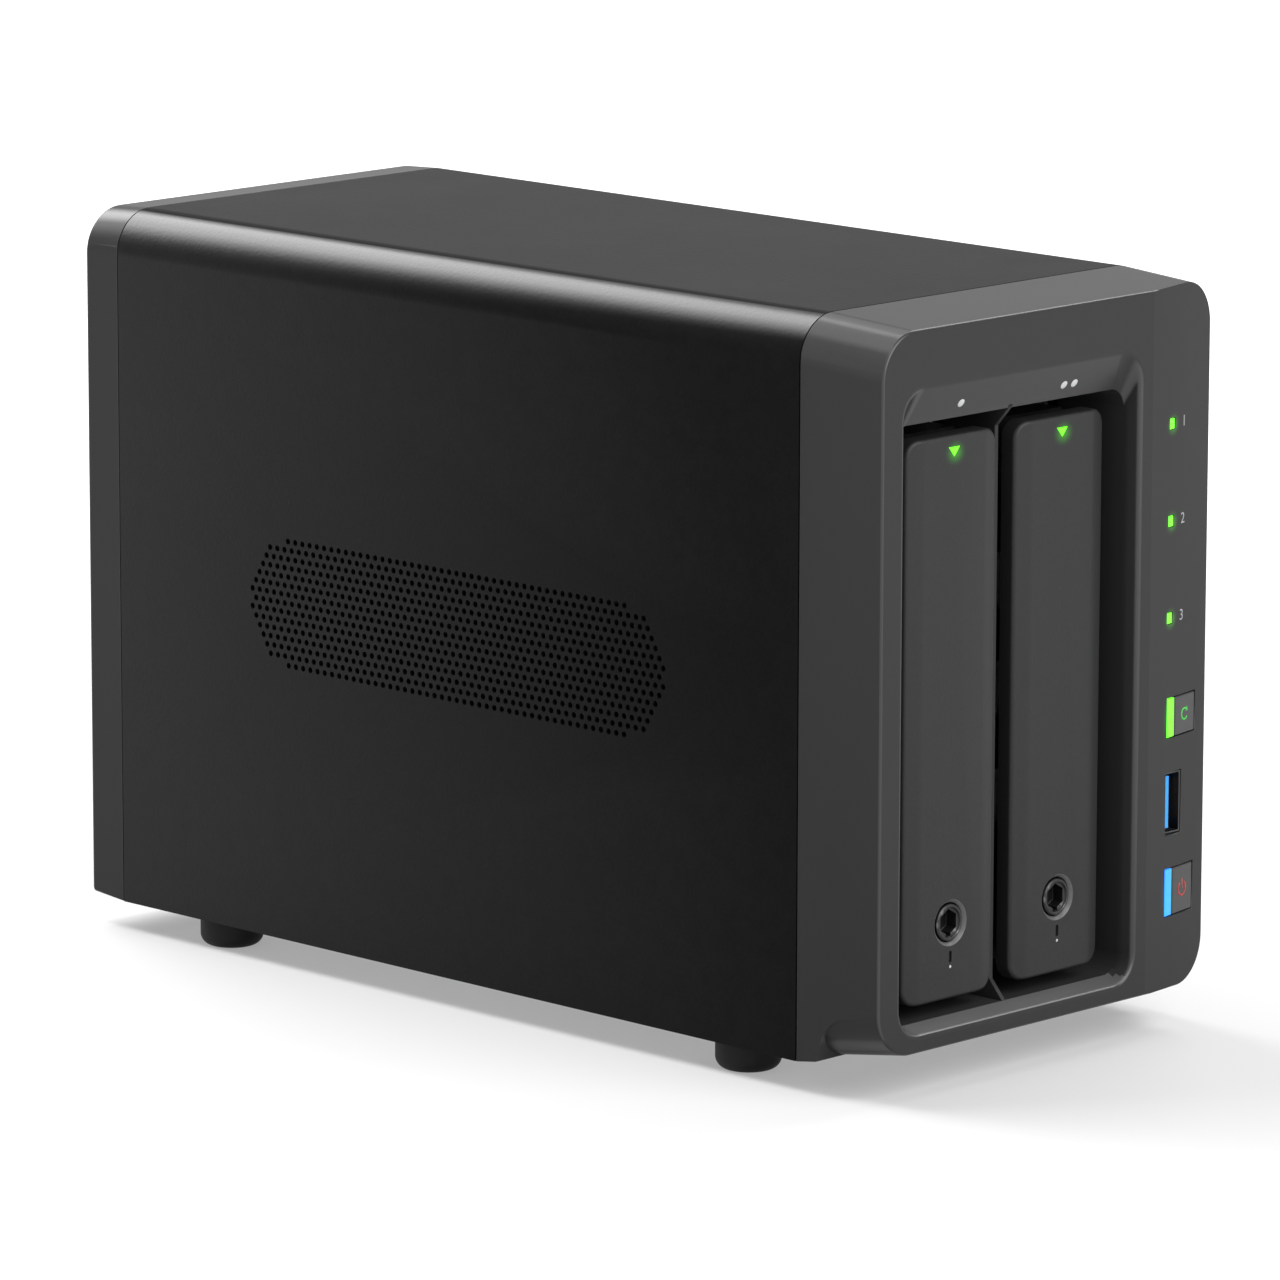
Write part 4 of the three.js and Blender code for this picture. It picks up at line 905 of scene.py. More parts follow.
class MESH_OT_storage_cover(bpy.types.Operator):
    """Outer cover with its perforated sides"""

    bl_idname = "mesh.storage_cover"
    bl_label = "Outer cover"

    def execute(self, context):
        sizes = context.scene.storage_sizes
        pitch = sizes.vent_pitch / MM
        radius = sizes.vent_hole / MM
        columns, rows = vent_layout(pitch)
        height = (VENT_Z[1] - VENT_Z[0]) / rows
        y0 = VENT_Y[0]
        field = (y0, VENT_Z[0], height)
        levels = (BOTTOM, VENT_Z[0], VENT_Z[0] + rows * height)
        y_ends = (COVER_FRONT, COVER_REAR)
        bm = bmesh.new()
        skins = []
        for inset in (0, COVER_WALL):
            half, arc = cover_profile(inset)
            outline = [(-half, z) for z in levels] + arc + [(half, z) for z in reversed(levels)]
            ends = [[bm.verts.new((px, y, pz)) for px, pz in outline] for y in y_ends]
            grids = {}
            for hand in (-1, 1):
                grids[hand] = vent_grid(bm, hand * half, pitch, radius, field)
            last = len(outline) - 1
            side_steps = {0: (-1, 0), 1: (-1, 1), 2: (-1, 2)}
            side_steps |= {last - 1: (1, 0), last - 2: (1, 1), last - 3: (1, 2)}
            for i in range(last):
                near = [ends[0][i], ends[0][i + 1]]
                far = [ends[1][i + 1], ends[1][i]]
                if i not in side_steps:
                    bm.faces.new((*near, *far))
                    continue
                hand, level = side_steps[i]
                self.side_faces(bm, near, far, grids[hand][0], columns, rows, level, hand)
            skins.append((ends, grids))
        (outer, outer_grids), (inner, inner_grids) = skins
        for end in (0, 1):
            for i in range(len(outer[end]) - 1):
                bm.faces.new((outer[end][i], outer[end][i + 1], inner[end][i + 1], inner[end][i]))
        for i in (0, -1):
            bm.faces.new((outer[0][i], outer[1][i], inner[1][i], inner[0][i]))
        for hand in (-1, 1):
            for rim, back in zip(outer_grids[hand][1], inner_grids[hand][1]):
                for k in range(8):
                    n = (k + 1) % 8
                    bm.faces.new((rim[k], rim[n], back[n], back[k]))
        cover = object_from("cover_shell", bm)
        cover.data.shade_smooth()
        cover.data.set_sharp_from_angle(angle=math.radians(30))
        normals = cover.modifiers.new("flat faces", "WEIGHTED_NORMAL")
        normals.keep_sharp = True
        finish(cover, "Cover paint", "case", "cover_paint", "outer_cover")
        return {"FINISHED"}

    def side_faces(self, bm, near, far, lattice, columns, rows, level, hand):
        """The plain sheet below (0), beside (1) or above (2) the perforated field."""
        low, high = (near[0], near[1]) if hand < 0 else (near[1], near[0])
        low_far, high_far = (far[1], far[0]) if hand < 0 else (far[0], far[1])
        if level == 1:
            left = [lattice[0, j] for j in range(2 * rows + 1)]
            right = [lattice[2 * columns, j] for j in range(2 * rows + 1)]
            bm.faces.new([low, *left, high])
            bm.faces.new([low_far, *right, high_far])
            return
        row = 0 if level == 0 else 2 * rows
        edge = [lattice[i, row] for i in range(2 * columns + 1)]
        if level == 0:
            bm.faces.new([low, low_far, high_far, *reversed(edge), high])
        else:
            bm.faces.new([high, high_far, low_far, *reversed(edge), low])


# ---------- front bezel ----------
INDICATORS = ("status_light", "link_light_1", "link_light_2")
BUTTONS = {
    "copy_button": ("copy_light_bar", "copy_key"),
    "power_button": ("power_light_bar", "power_key"),
}


def strip_limits(*nodes):
    """Lowest and highest corner of CAD nodes in the strip's own directions."""
    back = STRIP.inverted()
    points = [
        back @ (vertex.co / MM)
        for node in nodes
        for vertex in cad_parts[node].data.vertices
    ]
    low = Vector([min(point[axis] for point in points) for axis in range(3)])
    high = Vector([max(point[axis] for point in points) for axis in range(3)])
    return low, high


def button_window(button):
    """Window of a button and its light bar: s0, s1, z0, z1."""
    bar_low, bar_high = strip_limits(BUTTONS[button][0])
    front_points = [
        STRIP.inverted() @ (vertex.co / MM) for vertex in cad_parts[button].data.vertices
    ]
    face = [point for point in front_points if point.y < 0.3]
    return bar_low.x, max(point.x for point in face), bar_low.z, bar_high.z


class MESH_OT_storage_front_bezel(bpy.types.Operator):
    """Front bezel with the tray recess, the fin and the sloping strip"""

    bl_idname = "mesh.storage_front_bezel"
    bl_label = "Front bezel"

    def execute(self, context):
        sizes = context.scene.storage_sizes
        back = BEZEL_BACK
        loops = [rounded_loop(CASE_RECT, CORNER, CORNER, back)]
        for setback, inset in edge_round(sizes.front_edge / MM):
            y = FRONT + setback
            rect = between(CASE_RECT, FRONT_RECT, (y - back) / (FRONT - back))
            loops.append(rounded_loop(grown(rect, -inset), CORNER - inset, CORNER - inset, y))
        body = loft("front_bezel_shell", loops)
        fuse(body, *self.corner_blocks(back))
        cut(body, *self.openings(back, sizes.recess_edge / MM))
        fuse(body, self.fin(back))
        rim = self.rim()
        strip_place = STRIP.inverted()

        def rule(middle):
            on_strip = abs((strip_place @ middle).y) < 0.05
            inside = middle.x > CREASE + 2 and middle.z < TOP - 14 and middle.z > BOTTOM + 12
            if on_strip and inside and middle.x < SIDE - 2:
                return 1.0
            skin = abs(middle.x) > SIDE - 0.1 or middle.z > TOP - 0.1
            return 1.0 if middle.y > back - 0.05 and skin else 0.0

        x0, x1, z0, z1 = grown(RECESS_FRONT, 2)

        def rolled(middle):
            return FRONT + 0.004 < middle.y < FACE_Y - 0.1 and x0 < middle.x < x1 and z0 < middle.z < z1

        soften(body, 0.15 * MM, sharp=24, segments=2, rule=rule, rolled=rolled)
        finish(body, "Bezel finish", "case", "bezel_finish", "front_bezel")
        # Two more slots: a lighter copy of the bezel colour for a painted highlight on the recess lip, and a
        # darker copy for painted shade on the strip.
        body.data.materials.append(MATERIALS["Lip painted highlight"])
        body.data.materials.append(MATERIALS["Strip painted shade"])
        outward = STRIP.to_3x3() @ Vector((0, -1, 0))
        for face in body.data.polygons:
            middle = face.center / MM
            # Strip faces take the darker copy: painted shade.
            if (strip_place @ middle).y < 0.4 and face.normal.dot(outward) > 0.995:
                face.material_index = 2
            # Upward faces of the recess lip take the lighter copy: painted highlight.
            elif rolled(middle) and middle.z < BAY[2] and face.normal.z > 0.6:
                face.material_index = 1
        soften(rim, 0.2 * MM)
        finish(rim, "Bezel finish", "case", "bezel_finish")
        self.print_marks()
        return {"FINISHED"}

    def corner_blocks(self, back):
        """Square bottom corners beside the cover, ending at an elliptical scoop."""
        scoop_y = FRONT + 7.0
        share = (scoop_y - back) / (FRONT - back)
        blocks = []
        for hand in (-1, 1):
            square = loft(
                "square",
                [
                    rounded_loop(CASE_RECT, 0.02, CORNER, back),
                    rounded_loop(between(CASE_RECT, FRONT_RECT, share), 0.02, CORNER, scoop_y),
                ],
            )
            reach = sorted((hand * (SIDE + 1), hand * (SIDE - CORNER)))
            corner = slab("corner", *reach, scoop_y - 1, back + 1, 0, BOTTOM + 12)
            outline = [
                (scoop_y + 9.5 * math.cos(turn), BOTTOM + 11 * math.sin(turn))
                for turn in (math.radians(5 * step) for step in range(72))
            ]
            scoop = extruded(
                "scoop", outline, lambda y, z: (-SIDE - 2, y, z), lambda y, z: (SIDE + 2, y, z)
            )
            common(square, corner)
            cut(square, scoop)
            blocks.append(square)
        return blocks

    def openings(self, back, recess_edge):
        beyond = SIDE + 2
        slope = math.tan(STRIP_ANGLE) * (beyond - CREASE)
        wedge = extruded(
            "wedge",
            [(CREASE, FRONT - 3), (CREASE, FRONT), (beyond, FRONT + slope), (beyond, FRONT - 3)],
            lambda x, y: (x, y, 0),
            lambda x, y: (x, y, TOP + 2),
        )
        runs = [
            (RECESS_FRONT[1] - BAY[1], recess_edge),
            (BAY[2] - RECESS_FRONT[2], recess_edge),
            (RECESS_FRONT[3] - BAY[3], 2.5 * recess_edge),
        ]
        loops = []
        for below in (RECESS_DEPTH, 2.5, 1.2, 0.9, 0.65, 0.45, 0.28, 0.15, 0.06, 0.01, 0, -2):
            side, low, high = (
                flare(run, RECESS_DEPTH, radius, max(below, 0)) for run, radius in runs
            )
            rect = (BAY[0] - side, BAY[1] + side, BAY[2] - low, BAY[3] + high)
            corner = 4 + 1.6 * (1 - max(below, 0) / RECESS_DEPTH) + side
            loops.append(rounded_loop(rect, corner, corner, FRONT + below))
        recess = loft("recess", loops)
        bay = prism("bay", BAY, FACE_Y - 0.01, back + 2, 4)
        inset = grown(CASE_RECT, -2.2)
        hollow = prism("hollow", grown(inset, -1.2), FRONT + 6.6, back + 1, CORNER - 2.2)
        tunnel = prism("tunnel", grown(BAY, 1.4), FRONT + 5, back + 3, 5)
        cut(hollow, tunnel)
        strip_hollow = slab(
            "strip_hollow", 1.2, STRIP_LENGTH - 2.6, 2.4, 16, BOTTOM + 10.5, TOP - 17, transform=STRIP
        )
        tools = [wedge, recess, bay, hollow, strip_hollow]
        for name in INDICATORS:
            low, high = strip_limits(name)
            tools.append(
                slab(
                    "window", low.x - 0.15, high.x + 0.15, -3, 5, low.z - 0.15, high.z + 0.15,
                    transform=STRIP,
                )
            )
        for name in BUTTONS:
            s0, s1, z0, z1 = button_window(name)
            tools.append(
                slab("window", s0 - 0.2, s1 + 0.2, -3, 5, z0 - 0.2, z1 + 0.2, transform=STRIP)
            )
        low, high = limits("front_usb_shell")
        tools.append(
            slab("window", low.x - 0.12, high.x + 0.12, FRONT - 1, low.y + 6, low.z - 0.12, high.z + 0.12)
        )
        return tools

    def fin(self, back):
        """Thin wall between the trays, its ends slanting back from the recess."""
        y0 = FACE_Y - 0.5
        outline = [
            (y0, BAY[2] - 0.5),
            (back, BAY[2] - 0.5),
            (back, BAY[3] + 0.5),
            (y0, BAY[3] + 0.5),
            (y0 + 4, BAY[3] - 4),
            (y0 + 4, BAY[2] + 4),
        ]
        return extruded(
            "fin",
            outline,
            lambda y, z: (BAY_MIDDLE - 0.5, y, z),
            lambda y, z: (BAY_MIDDLE + 0.5, y, z),
        )

    def rim(self):
        """The rim that seats inside the cover."""
        inset = COVER_WALL + GAP
        rect = (-SIDE + inset, SIDE - inset, BOTTOM + GAP, TOP - inset)
        radius = CORNER - inset
        rim = prism("front_bezel_rim", rect, BEZEL_BACK + 0.02, bezel_high.y, 0.05, radius)
        return cut(
            rim,
            prism("inside", grown(rect, -1.4), BEZEL_BACK - 1, bezel_high.y + 1, 0.05, radius - 1.4),
        )

    def print_marks(self):
        """Bay dots on the recess slope and plain numerals beside the lights."""
        rise = RECESS_FRONT[3] - BAY[3]
        slope = Vector((0, -RECESS_DEPTH, rise)).normalized()
        outward = Vector((0, -slope.z, slope.y))
        up = 3.0 / rise
        base = Vector((0, FACE_Y - RECESS_DEPTH * up, BAY[3] + 3.0))
        dots = []
        for number in TRAYS:
            for index in range(number):
                x = tray_x[number] + (index - (number - 1) / 2) * 3.1
                centre = Vector((x, base.y, base.z)) - outward * 0.05
                dots.append(
                    turned("dot", centre, outward, DOT_PROFILE, 32)
                )
        finish(merged("bay_dots", dots), "White print and painted glint", "case", "bezel_finish")
        marks = []
        for index, name in enumerate(INDICATORS):
            low, high = strip_limits(name)
            marks.append(numeral(str(index + 1), high.x + 3.6, (low.z + high.z) / 2, 2.3))
        finish(merged("indicator_numerals", marks), "Printed grey", "case", "bezel_finish")


def numeral(text, s, z, height):
    """A thin printed numeral on the sloping strip, standing on its middle."""
    curve = bpy.data.curves.new("numeral", "FONT")
    curve.body = text
    curve.size = height * 1.4 * MM
    curve.extrude = 0.02 * MM
    curve.align_x = "CENTER"
    curve.align_y = "CENTER"
    writing = bpy.data.objects.new("numeral", curve)
    bpy.context.scene.collection.objects.link(writing)
    graph = bpy.context.evaluated_depsgraph_get()
    mesh = bpy.data.meshes.new_from_object(writing.evaluated_get(graph))
    bpy.data.objects.remove(writing)
    upright = Matrix.Rotation(math.radians(90), 4, "X")
    place = Matrix.Translation(Vector((s, -0.01, z)) * MM)
    strip = Matrix.Translation(STRIP.translation * MM) @ STRIP.to_3x3().to_4x4()
    mesh.transform(strip @ place @ upright)
    made = bpy.data.objects.new("numeral", mesh)
    bpy.context.scene.collection.objects.link(made)
    return made


# ---------- rear bezel and panel ----------
class MESH_OT_storage_rear(bpy.types.Operator):
    """Rear bezel and the rear panel with its fan grille"""

    bl_idname = "mesh.storage_rear"
    bl_label = "Rear bezel and panel"

    def execute(self, context):
        loops = [rounded_loop(CASE_RECT, 0.3, CORNER, REAR_JOIN)]
        for setback, inset in edge_round(1.0):
            y = REAR - setback
            rect = between(CASE_RECT, REAR_RECT, (y - REAR_JOIN) / (REAR - REAR_JOIN))
            loops.append(rounded_loop(grown(rect, -inset), 0.8, CORNER - inset, y))
        body = loft("rear_bezel_shell", loops)
        inset = COVER_WALL + GAP
        rim_rect = (-SIDE + inset, SIDE - inset, BOTTOM + GAP, TOP - inset)
        rim = prism("rim", rim_rect, REAR_JOIN + 1, rear_low.y, 0.05, CORNER - inset)
        fuse(body, rim)
        panel_rect = (panel_low.x, panel_high.x, panel_low.z, panel_high.z)
        pocket = prism("pocket", grown(panel_rect, GAP), rear_low.y - 1, panel_high.y + GAP, 4, 6)
        lip_rect = (-SIDE + 5.25, SIDE - 5.25, BOTTOM + 5.25, TOP - 5.25)
        loops = [rounded_loop(lip_rect, 4, 5, panel_high.y - 0.5)]
        for setback, inset in edge_round(0.8):
            y = REAR - setback
            loops.append(rounded_loop(grown(lip_rect, inset), 4 + inset, 5 + inset, y))
        loops.append(rounded_loop(grown(lip_rect, 0.8), 4.8, 5.8, REAR + 1))
        lip = loft("lip", loops)
        cut(body, pocket, lip)
        tabs = []
        for name in ("cover_screw_left", "cover_screw_right"):
            low, high = limits(name)
            x = (low.x + high.x) / 2
            z = (low.z + high.z) / 2
            hand = math.copysign(1, x)
            reach = sorted((x - hand * 4, hand * (SIDE - 4.25)))
            tab = slab("tab", *reach, panel_high.y + GAP, panel_high.y + 2.2, z - 4.5, z + 4.5)
            cut(tab, rod("hole", (x, panel_high.y - 1, z), (0, 1, 0), 8, 2.1))
            tabs.append(tab)
        fuse(body, *tabs)

        def rule(middle):
            skin = abs(middle.x) > SIDE - 0.1 or middle.z > TOP - 0.1
            return 1.0 if middle.y < REAR_JOIN + 0.05 and skin else 0.0

        soften(body, 0.15 * MM, segments=2, rule=rule)
        finish(body, "Bezel finish", "case", "bezel_finish", "rear_bezel")
        self.panel(panel_rect)
        return {"FINISHED"}

    def panel(self, rect):
        y0 = panel_low.y
        y1 = panel_high.y
        panel = prism("rear_panel_sheet", rect, y0, y1, 3, 6)
        tools = []
        for inner in (14, 21.5, 29, 36.5):
            for sector in range(4):
                half = 1.4 / inner
                start = math.pi / 4 + sector * math.pi / 2 + half
                end = start + math.pi / 2 - 2 * half
                tools.append(ring_sector(inner, inner + 6, start, end, y0 - 1, y1 + 1))
        for name in (*FAN_SCREWS, *COVER_SCREWS):
            low, high = limits(name)
            centre = ((low.x + high.x) / 2, y0 - 1, (low.z + high.z) / 2)
            tools.append(rod("hole", centre, (0, 1, 0), 4, 2.1))
        low, high = limits("reset_button")
        tools.append(
            rod("hole", ((low.x + high.x) / 2, y0 - 1, (low.z + high.z) / 2), (0, 1, 0), 4, 1.4)
        )
        for name in PORTS:
            low, high = limits(name)
            port = (low.x, high.x, low.z, high.z)
            tools.append(prism("port", grown(port, 0.25), y0 - 1, y1 + 1, 0.3, arc=4))
        slot = (-SIDE + 11, -SIDE + 18, BOTTOM + 28, BOTTOM + 31)
        tools.append(prism("slot", slot, y0 - 1, y1 + 1, 0.8, arc=10))
        cut(panel, *tools)
        panel.data.shade_flat()
        finish(panel, "Panel coat", "case", "panel_steel", "rear_panel")


def ring_sector(inner, outer, start, end, y0, y1):
    """A curved slot cutter round the fan's axis with eased corners."""
    outline = []
    steps = 20
    for radius, first, last in ((outer, start, end), (inner, end, start)):
        for step in range(steps + 1):
            turn = first + (last - first) * step / steps
            outline.append((radius * math.cos(turn), FAN_Z + radius * math.sin(turn)))
    return extruded("sector", outline, lambda x, z: (x, y0, z), lambda x, z: (x, y1, z))


FAN_SCREWS = tuple(
    f"fan_screw_{level}_{hand}" for level in ("lower", "upper") for hand in ("left", "right")
)
COVER_SCREWS = ("cover_screw_left", "cover_screw_right")
PORTS = (
    "rear_usb_port_lower",
    "rear_usb_port_upper",
    "lan_port_1",
    "lan_port_2",
    "expansion_port",
    "power_jack",
)


# ---------- feet ----------
class MESH_OT_storage_feet(bpy.types.Operator):
    """Four round rubber feet"""

    bl_idname = "mesh.storage_feet"
    bl_label = "Feet"

    def execute(self, context):
        for name in ("foot_front_left", "foot_front_right", "foot_rear_left", "foot_rear_right"):
            low, high = limits(name)
            centre = ((low.x + high.x) / 2, (low.y + high.y) / 2, 0)
            radius = (high.x - low.x) / 2
            profile = [(0, 0.35), (1.4, 0.35), (1.8, 0.0)]
            for step in range(13):
                turn = math.radians(7.5 * step)
                out = radius - 2.6 * (1 - math.sin(turn))
                profile.append((out, 2.6 * (1 - math.cos(turn))))
            profile += [(radius, 5.9), (radius - 0.4, 6.3), (radius - 0.8, BOTTOM), (2.2, BOTTOM)]
            profile += [(2.2, high.z), (0, high.z)]
            foot = turned(f"{name}_rubber", centre, (0, 0, 1), profile, 64)
            foot.data.shade_smooth()
            foot.data.set_sharp_from_angle(angle=math.radians(35))
            finish(foot, "Foot rubber", "case", "foot_rubber", name)
        return {"FINISHED"}


# ---------- tray fronts ----------
class MESH_OT_storage_tray_fronts(bpy.types.Operator):
    """Tray handles with their locks and lights"""

    bl_idname = "mesh.storage_tray_fronts"
    bl_label = "Tray fronts"

    def execute(self, context):
        sizes = context.scene.storage_sizes
        for number in TRAYS:
            self.handle(number, sizes.tray_edge)
            self.lock(number)
        return {"FINISHED"}

    def handle(self, number, edge):
        x = tray_x[number]
        back = FACE_Y + 4.6
        flat = 8.7
        setback = 1.0
        hinge_y = FACE_Y + 7.6
        hinge_z = FACE_TOP - 8
        outline = [
            (x - FACE_HALF, back),
            (x - FACE_HALF, FACE_Y + setback),
            (x - flat, FACE_Y),
            (x + flat, FACE_Y),
            (x + FACE_HALF, FACE_Y + setback),
            (x + FACE_HALF, back),
        ]
        plate = extruded(
            f"tray_{number}_front",
            outline,
            lambda u, v: (u, v, FACE_BOTTOM - 1),
            lambda u, v: (u, v, FACE_TOP + 1),
        )
        rect = (x - FACE_HALF, x + FACE_HALF, FACE_BOTTOM, FACE_TOP)
        common(plate, prism("corners", rect, FACE_Y - 1, back + 1, 3.5, arc=12))
        pocket = (x - FACE_HALF + 2.4, x + FACE_HALF - 2.4, LOCK_Z + 9, hinge_z - 6)
        cut(plate, prism("pocket", pocket, FACE_Y + 2.4, back + 1, 2, arc=8))
        ears = []
        for hand in (-1, 1):
            reach = sorted((x + hand * 9.4, x + hand * 11.8))
            ear = rod("ear", (reach[0], hinge_y, hinge_z), (1, 0, 0), 2.4, 3.1)
            fuse(ear, slab("web", *reach, back - 1, hinge_y, hinge_z - 3.1, hinge_z + 3.1))
            cut(ear, rod("bore", (reach[0] - 1, hinge_y, hinge_z), (1, 0, 0), 5, 1.45))
            ears.append(ear)
        fuse(plate, *ears)
        lock_bore = turned(
            "lock_bore",
            (x, FACE_Y - 1, LOCK_Z),
            (0, 1, 0),
            [(0, 0), (5.9, 0), (4.75, 1.0), (4.05, 1.75), (4.05, 7), (0, 7)],
            64,
        )
        light_low, light_high = limits(f"tray_{number}_light")

        def triangle(name, reach, y0, y1):
            middle = (2 * light_high.z + light_low.z) / 3
            half = (light_high.x - light_low.x) / 2 * reach
            head = middle + (light_high.z - middle) * reach
            foot = middle + (light_low.z - middle) * reach
            outline = [(x - half, head), (x, foot), (x + half, head)]
            return extruded(name, outline, lambda u, v: (u, y0, v), lambda u, v: (u, y1, v))

        light = triangle("light_hole", 0.9, FACE_Y - 1, back + 1)
        lamp = triangle(f"tray_{number}_lamp", 0.82, light_low.y, light_high.y)
        soften(lamp, 0.1 * MM)
        finish(lamp, "Green light", f"handle_{number}", "green_light", f"tray_{number}_light")
        mark = prism(
            "mark", (x - 0.4, x + 0.4, LOCK_Z - 8.2, LOCK_Z - 5.8), FACE_Y - 1, FACE_Y + 0.6, 0.38, arc=10
        )
        cut(plate, lock_bore, light, mark)

        def rule(middle):
            beside = abs(middle.x - x) > FACE_HALF - 0.1
            outside = beside or middle.z > FACE_TOP - 0.1 or middle.z < FACE_BOTTOM + 0.1
            corner = middle.y < FACE_Y + setback + 0.1 and (
                outside
                or math.hypot(
                    max(abs(middle.x - x) - FACE_HALF + 3.5, 0),
                    max(abs(middle.z - (FACE_TOP + FACE_BOTTOM) / 2) - (FACE_TOP - FACE_BOTTOM) / 2 + 3.5, 0),
                )
                > 3.3
            )
            if corner:
                return 1.0
            return 0.15

        soften(plate, edge, sharp=24, segments=4, rule=rule)
        finish(
            plate, "Tray plastic", f"handle_{number}", "tray_plastic", f"tray_{number}_handle"
        )
        # The lock bore's bevelled ring takes the lighter lip material: a painted highlight.
        plate.data.materials.append(MATERIALS["Lip painted highlight"])
        for face in plate.data.polygons:
            middle = face.center / MM
            bevelled = FACE_Y + 0.02 < middle.y < FACE_Y + 1.7 and 0.2 < -face.normal.y < 0.95
            if bevelled and math.hypot(middle.x - x, middle.z - LOCK_Z) < 5.9:
                face.material_index = 1
        # A white spot just below the engraved slot's lower end: painted highlight where that end catches the
        # light.
        dot = turned(
            f"tray_{number}_lock_painted_glint",
            (x, FACE_Y + 0.02, LOCK_Z - 9.0),
            (0, -1, 0),
            [(0, 0), (0.3, 0), (0.3, 0.03), (0.22, 0.05), (0, 0.05)],
            24,
        )
        finish(dot, "White print and painted glint", f"handle_{number}", "tray_plastic")

    def lock(self, number):
        """Barrel with a bevelled ring, a six-sided socket and a key notch."""
        x = tray_x[number]
        low, high = limits(f"tray_{number}_lock")
        face = low.y
        barrel = turned(
            f"tray_{number}_lock_barrel",
            (x, face, LOCK_Z),
            (0, 1, 0),
            [
                (0, 0.45), (2.95, 0.45), (3.1, 0.0), (3.5, 0.0), (3.8, 0.3),
                (3.8, high.y - face), (0, high.y - face),
            ],
            64,
        )
        cam = slab("cam", x - 2, x + 2, high.y - 1.6, high.y, LOCK_Z - 2, high.z)
        fuse(barrel, cam)
        reach = 2.35 / math.cos(math.pi / 6)
        hexagon = [
            (x + reach * math.cos(turn), LOCK_Z + reach * math.sin(turn))
            for turn in (math.pi / 6 + k * math.pi / 3 for k in range(6))
        ]
        socket = extruded(
            "socket", hexagon, lambda u, v: (u, face - 1, v), lambda u, v: (u, face + 3.2, v)
        )
        notch = slab("notch", x - 0.7, x + 0.7, face - 1, face + 3.2, LOCK_Z - 2.9, LOCK_Z)
        cut(barrel, socket, notch)
        soften(barrel, 0.12 * MM, sharp=28, segments=2)
        finish(barrel, "Black oxide", f"lock_{number}", "screw_steel", f"tray_{number}_lock")


# ---------- trays and drives ----------
class MESH_OT_storage_trays(bpy.types.Operator):
    """Tray bodies, hinge pins and drives"""

    bl_idname = "mesh.storage_trays"
    bl_label = "Trays and drives"

    def execute(self, context):
        for number in TRAYS:
            dress(f"tray_{number}_body", "Black plastic", 0.25 * MM)
            dress(f"tray_{number}_hinge_pin", "Plated steel", 0.15 * MM)
            self.drive(number)
        return {"FINISHED"}

    def drive(self, number):
        """Casting with a screwed lid on its left and a circuit board on its right."""
        node = f"tray_{number}_drive"
        body = f"tray_{number}"
        low, high = limits(node)
        rect = (low.y, high.y, low.z, high.z)

        def plate(name, area, radius, x0, x1):
            outline = [(point.x, point.z) for point in rounded_loop(area, radius, radius, 0, 10)]
            return extruded(name, outline, lambda u, v: (x0, u, v), lambda u, v: (x1, u, v))

        x0, x1 = low.x + 1.5, high.x - 1.7
        casting = plate(node + "_casting", rect, 2, x0, x1)
        pocket = plate("pocket", (high.y - 92, high.y - 6, low.z + 5, high.z - 25), 3, x1 - 3, x1 + 1)
        plug = slab("plug", x1 - 5, x1 + 1, high.y - 7, high.y + 1, low.z + 10, low.z + 54)
        holes = [
            rod("hole", (x0 + 4, y, z), (0, 0, step), 3, 1.6)
            for y in (low.y + 16, low.y + 58, low.y + 118)
            for z, step in ((low.z - 1, 1), (high.z + 1, -1))
        ]
        cut(casting, pocket, plug, *holes)
        soften(casting, 0.5 * MM, segments=3)
        finish(casting, "Cast aluminium", body, "cast_aluminium", node)
        lid = plate(node + "_lid", grown(rect, -2.5), 4, low.x + 0.4, x0 + 0.2)
        hub = (low.x + 0.3, low.y + 54, (low.z + high.z) / 2)
        fuse(lid, rod("rise", (low.x + 0.15, *hub[1:]), (1, 0, 0), 1, 36, 72))
        cut(lid, rod("dish", (low.x - 1, *hub[1:]), (1, 0, 0), 1.35, 33, 72))
        soften(lid, 0.2 * MM)
        finish(lid, "Machined lid", body, "cast_aluminium")
        parts = [rod("cap", (low.x + 0.1, *hub[1:]), (1, 0, 0), 1, 5.5)]
        for y in (low.y + 7, (low.y + high.y) / 2 + 22, high.y - 7):
            for z in (low.z + 7, high.z - 7):
                screw = rod("screw", (low.x + 0.05, y, z), (1, 0, 0), 1, 2.2, 24)
                parts.append(cut(screw, rod("star", (low.x - 1, y, z), (1, 0, 0), 1.6, 1.0, 6)))
        finish(merged(node + "_screws", parts), "Plated steel", body, "cast_aluminium")
        area = (high.y - 60, high.y - 14, low.z + 16, high.z - 16)
        foil = plate(node + "_foil", area, 2, low.x + 0.33, low.x + 0.6)
        finish(foil, "Printed grey", body, "cast_aluminium")
        area = (high.y - 90, high.y - 8, low.z + 4, high.z - 24)
        board = plate(node + "_board", area, 2, x1 - 1.2, x1 + 0.4)
        soften(board, 0.1 * MM)
        finish(board, "Circuit board", body, "cast_aluminium")
        chips = [
            slab("chip", x1 + 0.3, high.x - 0.1, y, y + dy, z, z + dz)
            for y, z, dy, dz in (
                (high.y - 62, low.z + 30, 14, 14),
                (high.y - 40, low.z + 48, 9, 14),
                (high.y - 80, low.z + 14, 8, 8),
                (high.y - 34, low.z + 16, 7, 10),
            )
        ]
        socket = slab("socket", x1 - 4, x1, high.y - 6.6, high.y - 0.4, low.z + 12, low.z + 52)
        slot = slab("slot", x1 - 2.6, x1 - 1.2, high.y - 4, high.y + 1, low.z + 14, low.z + 50)
        chips.append(cut(socket, slot))
        finish(merged(node + "_chips", chips), "Chip plastic", body, "cast_aluminium")


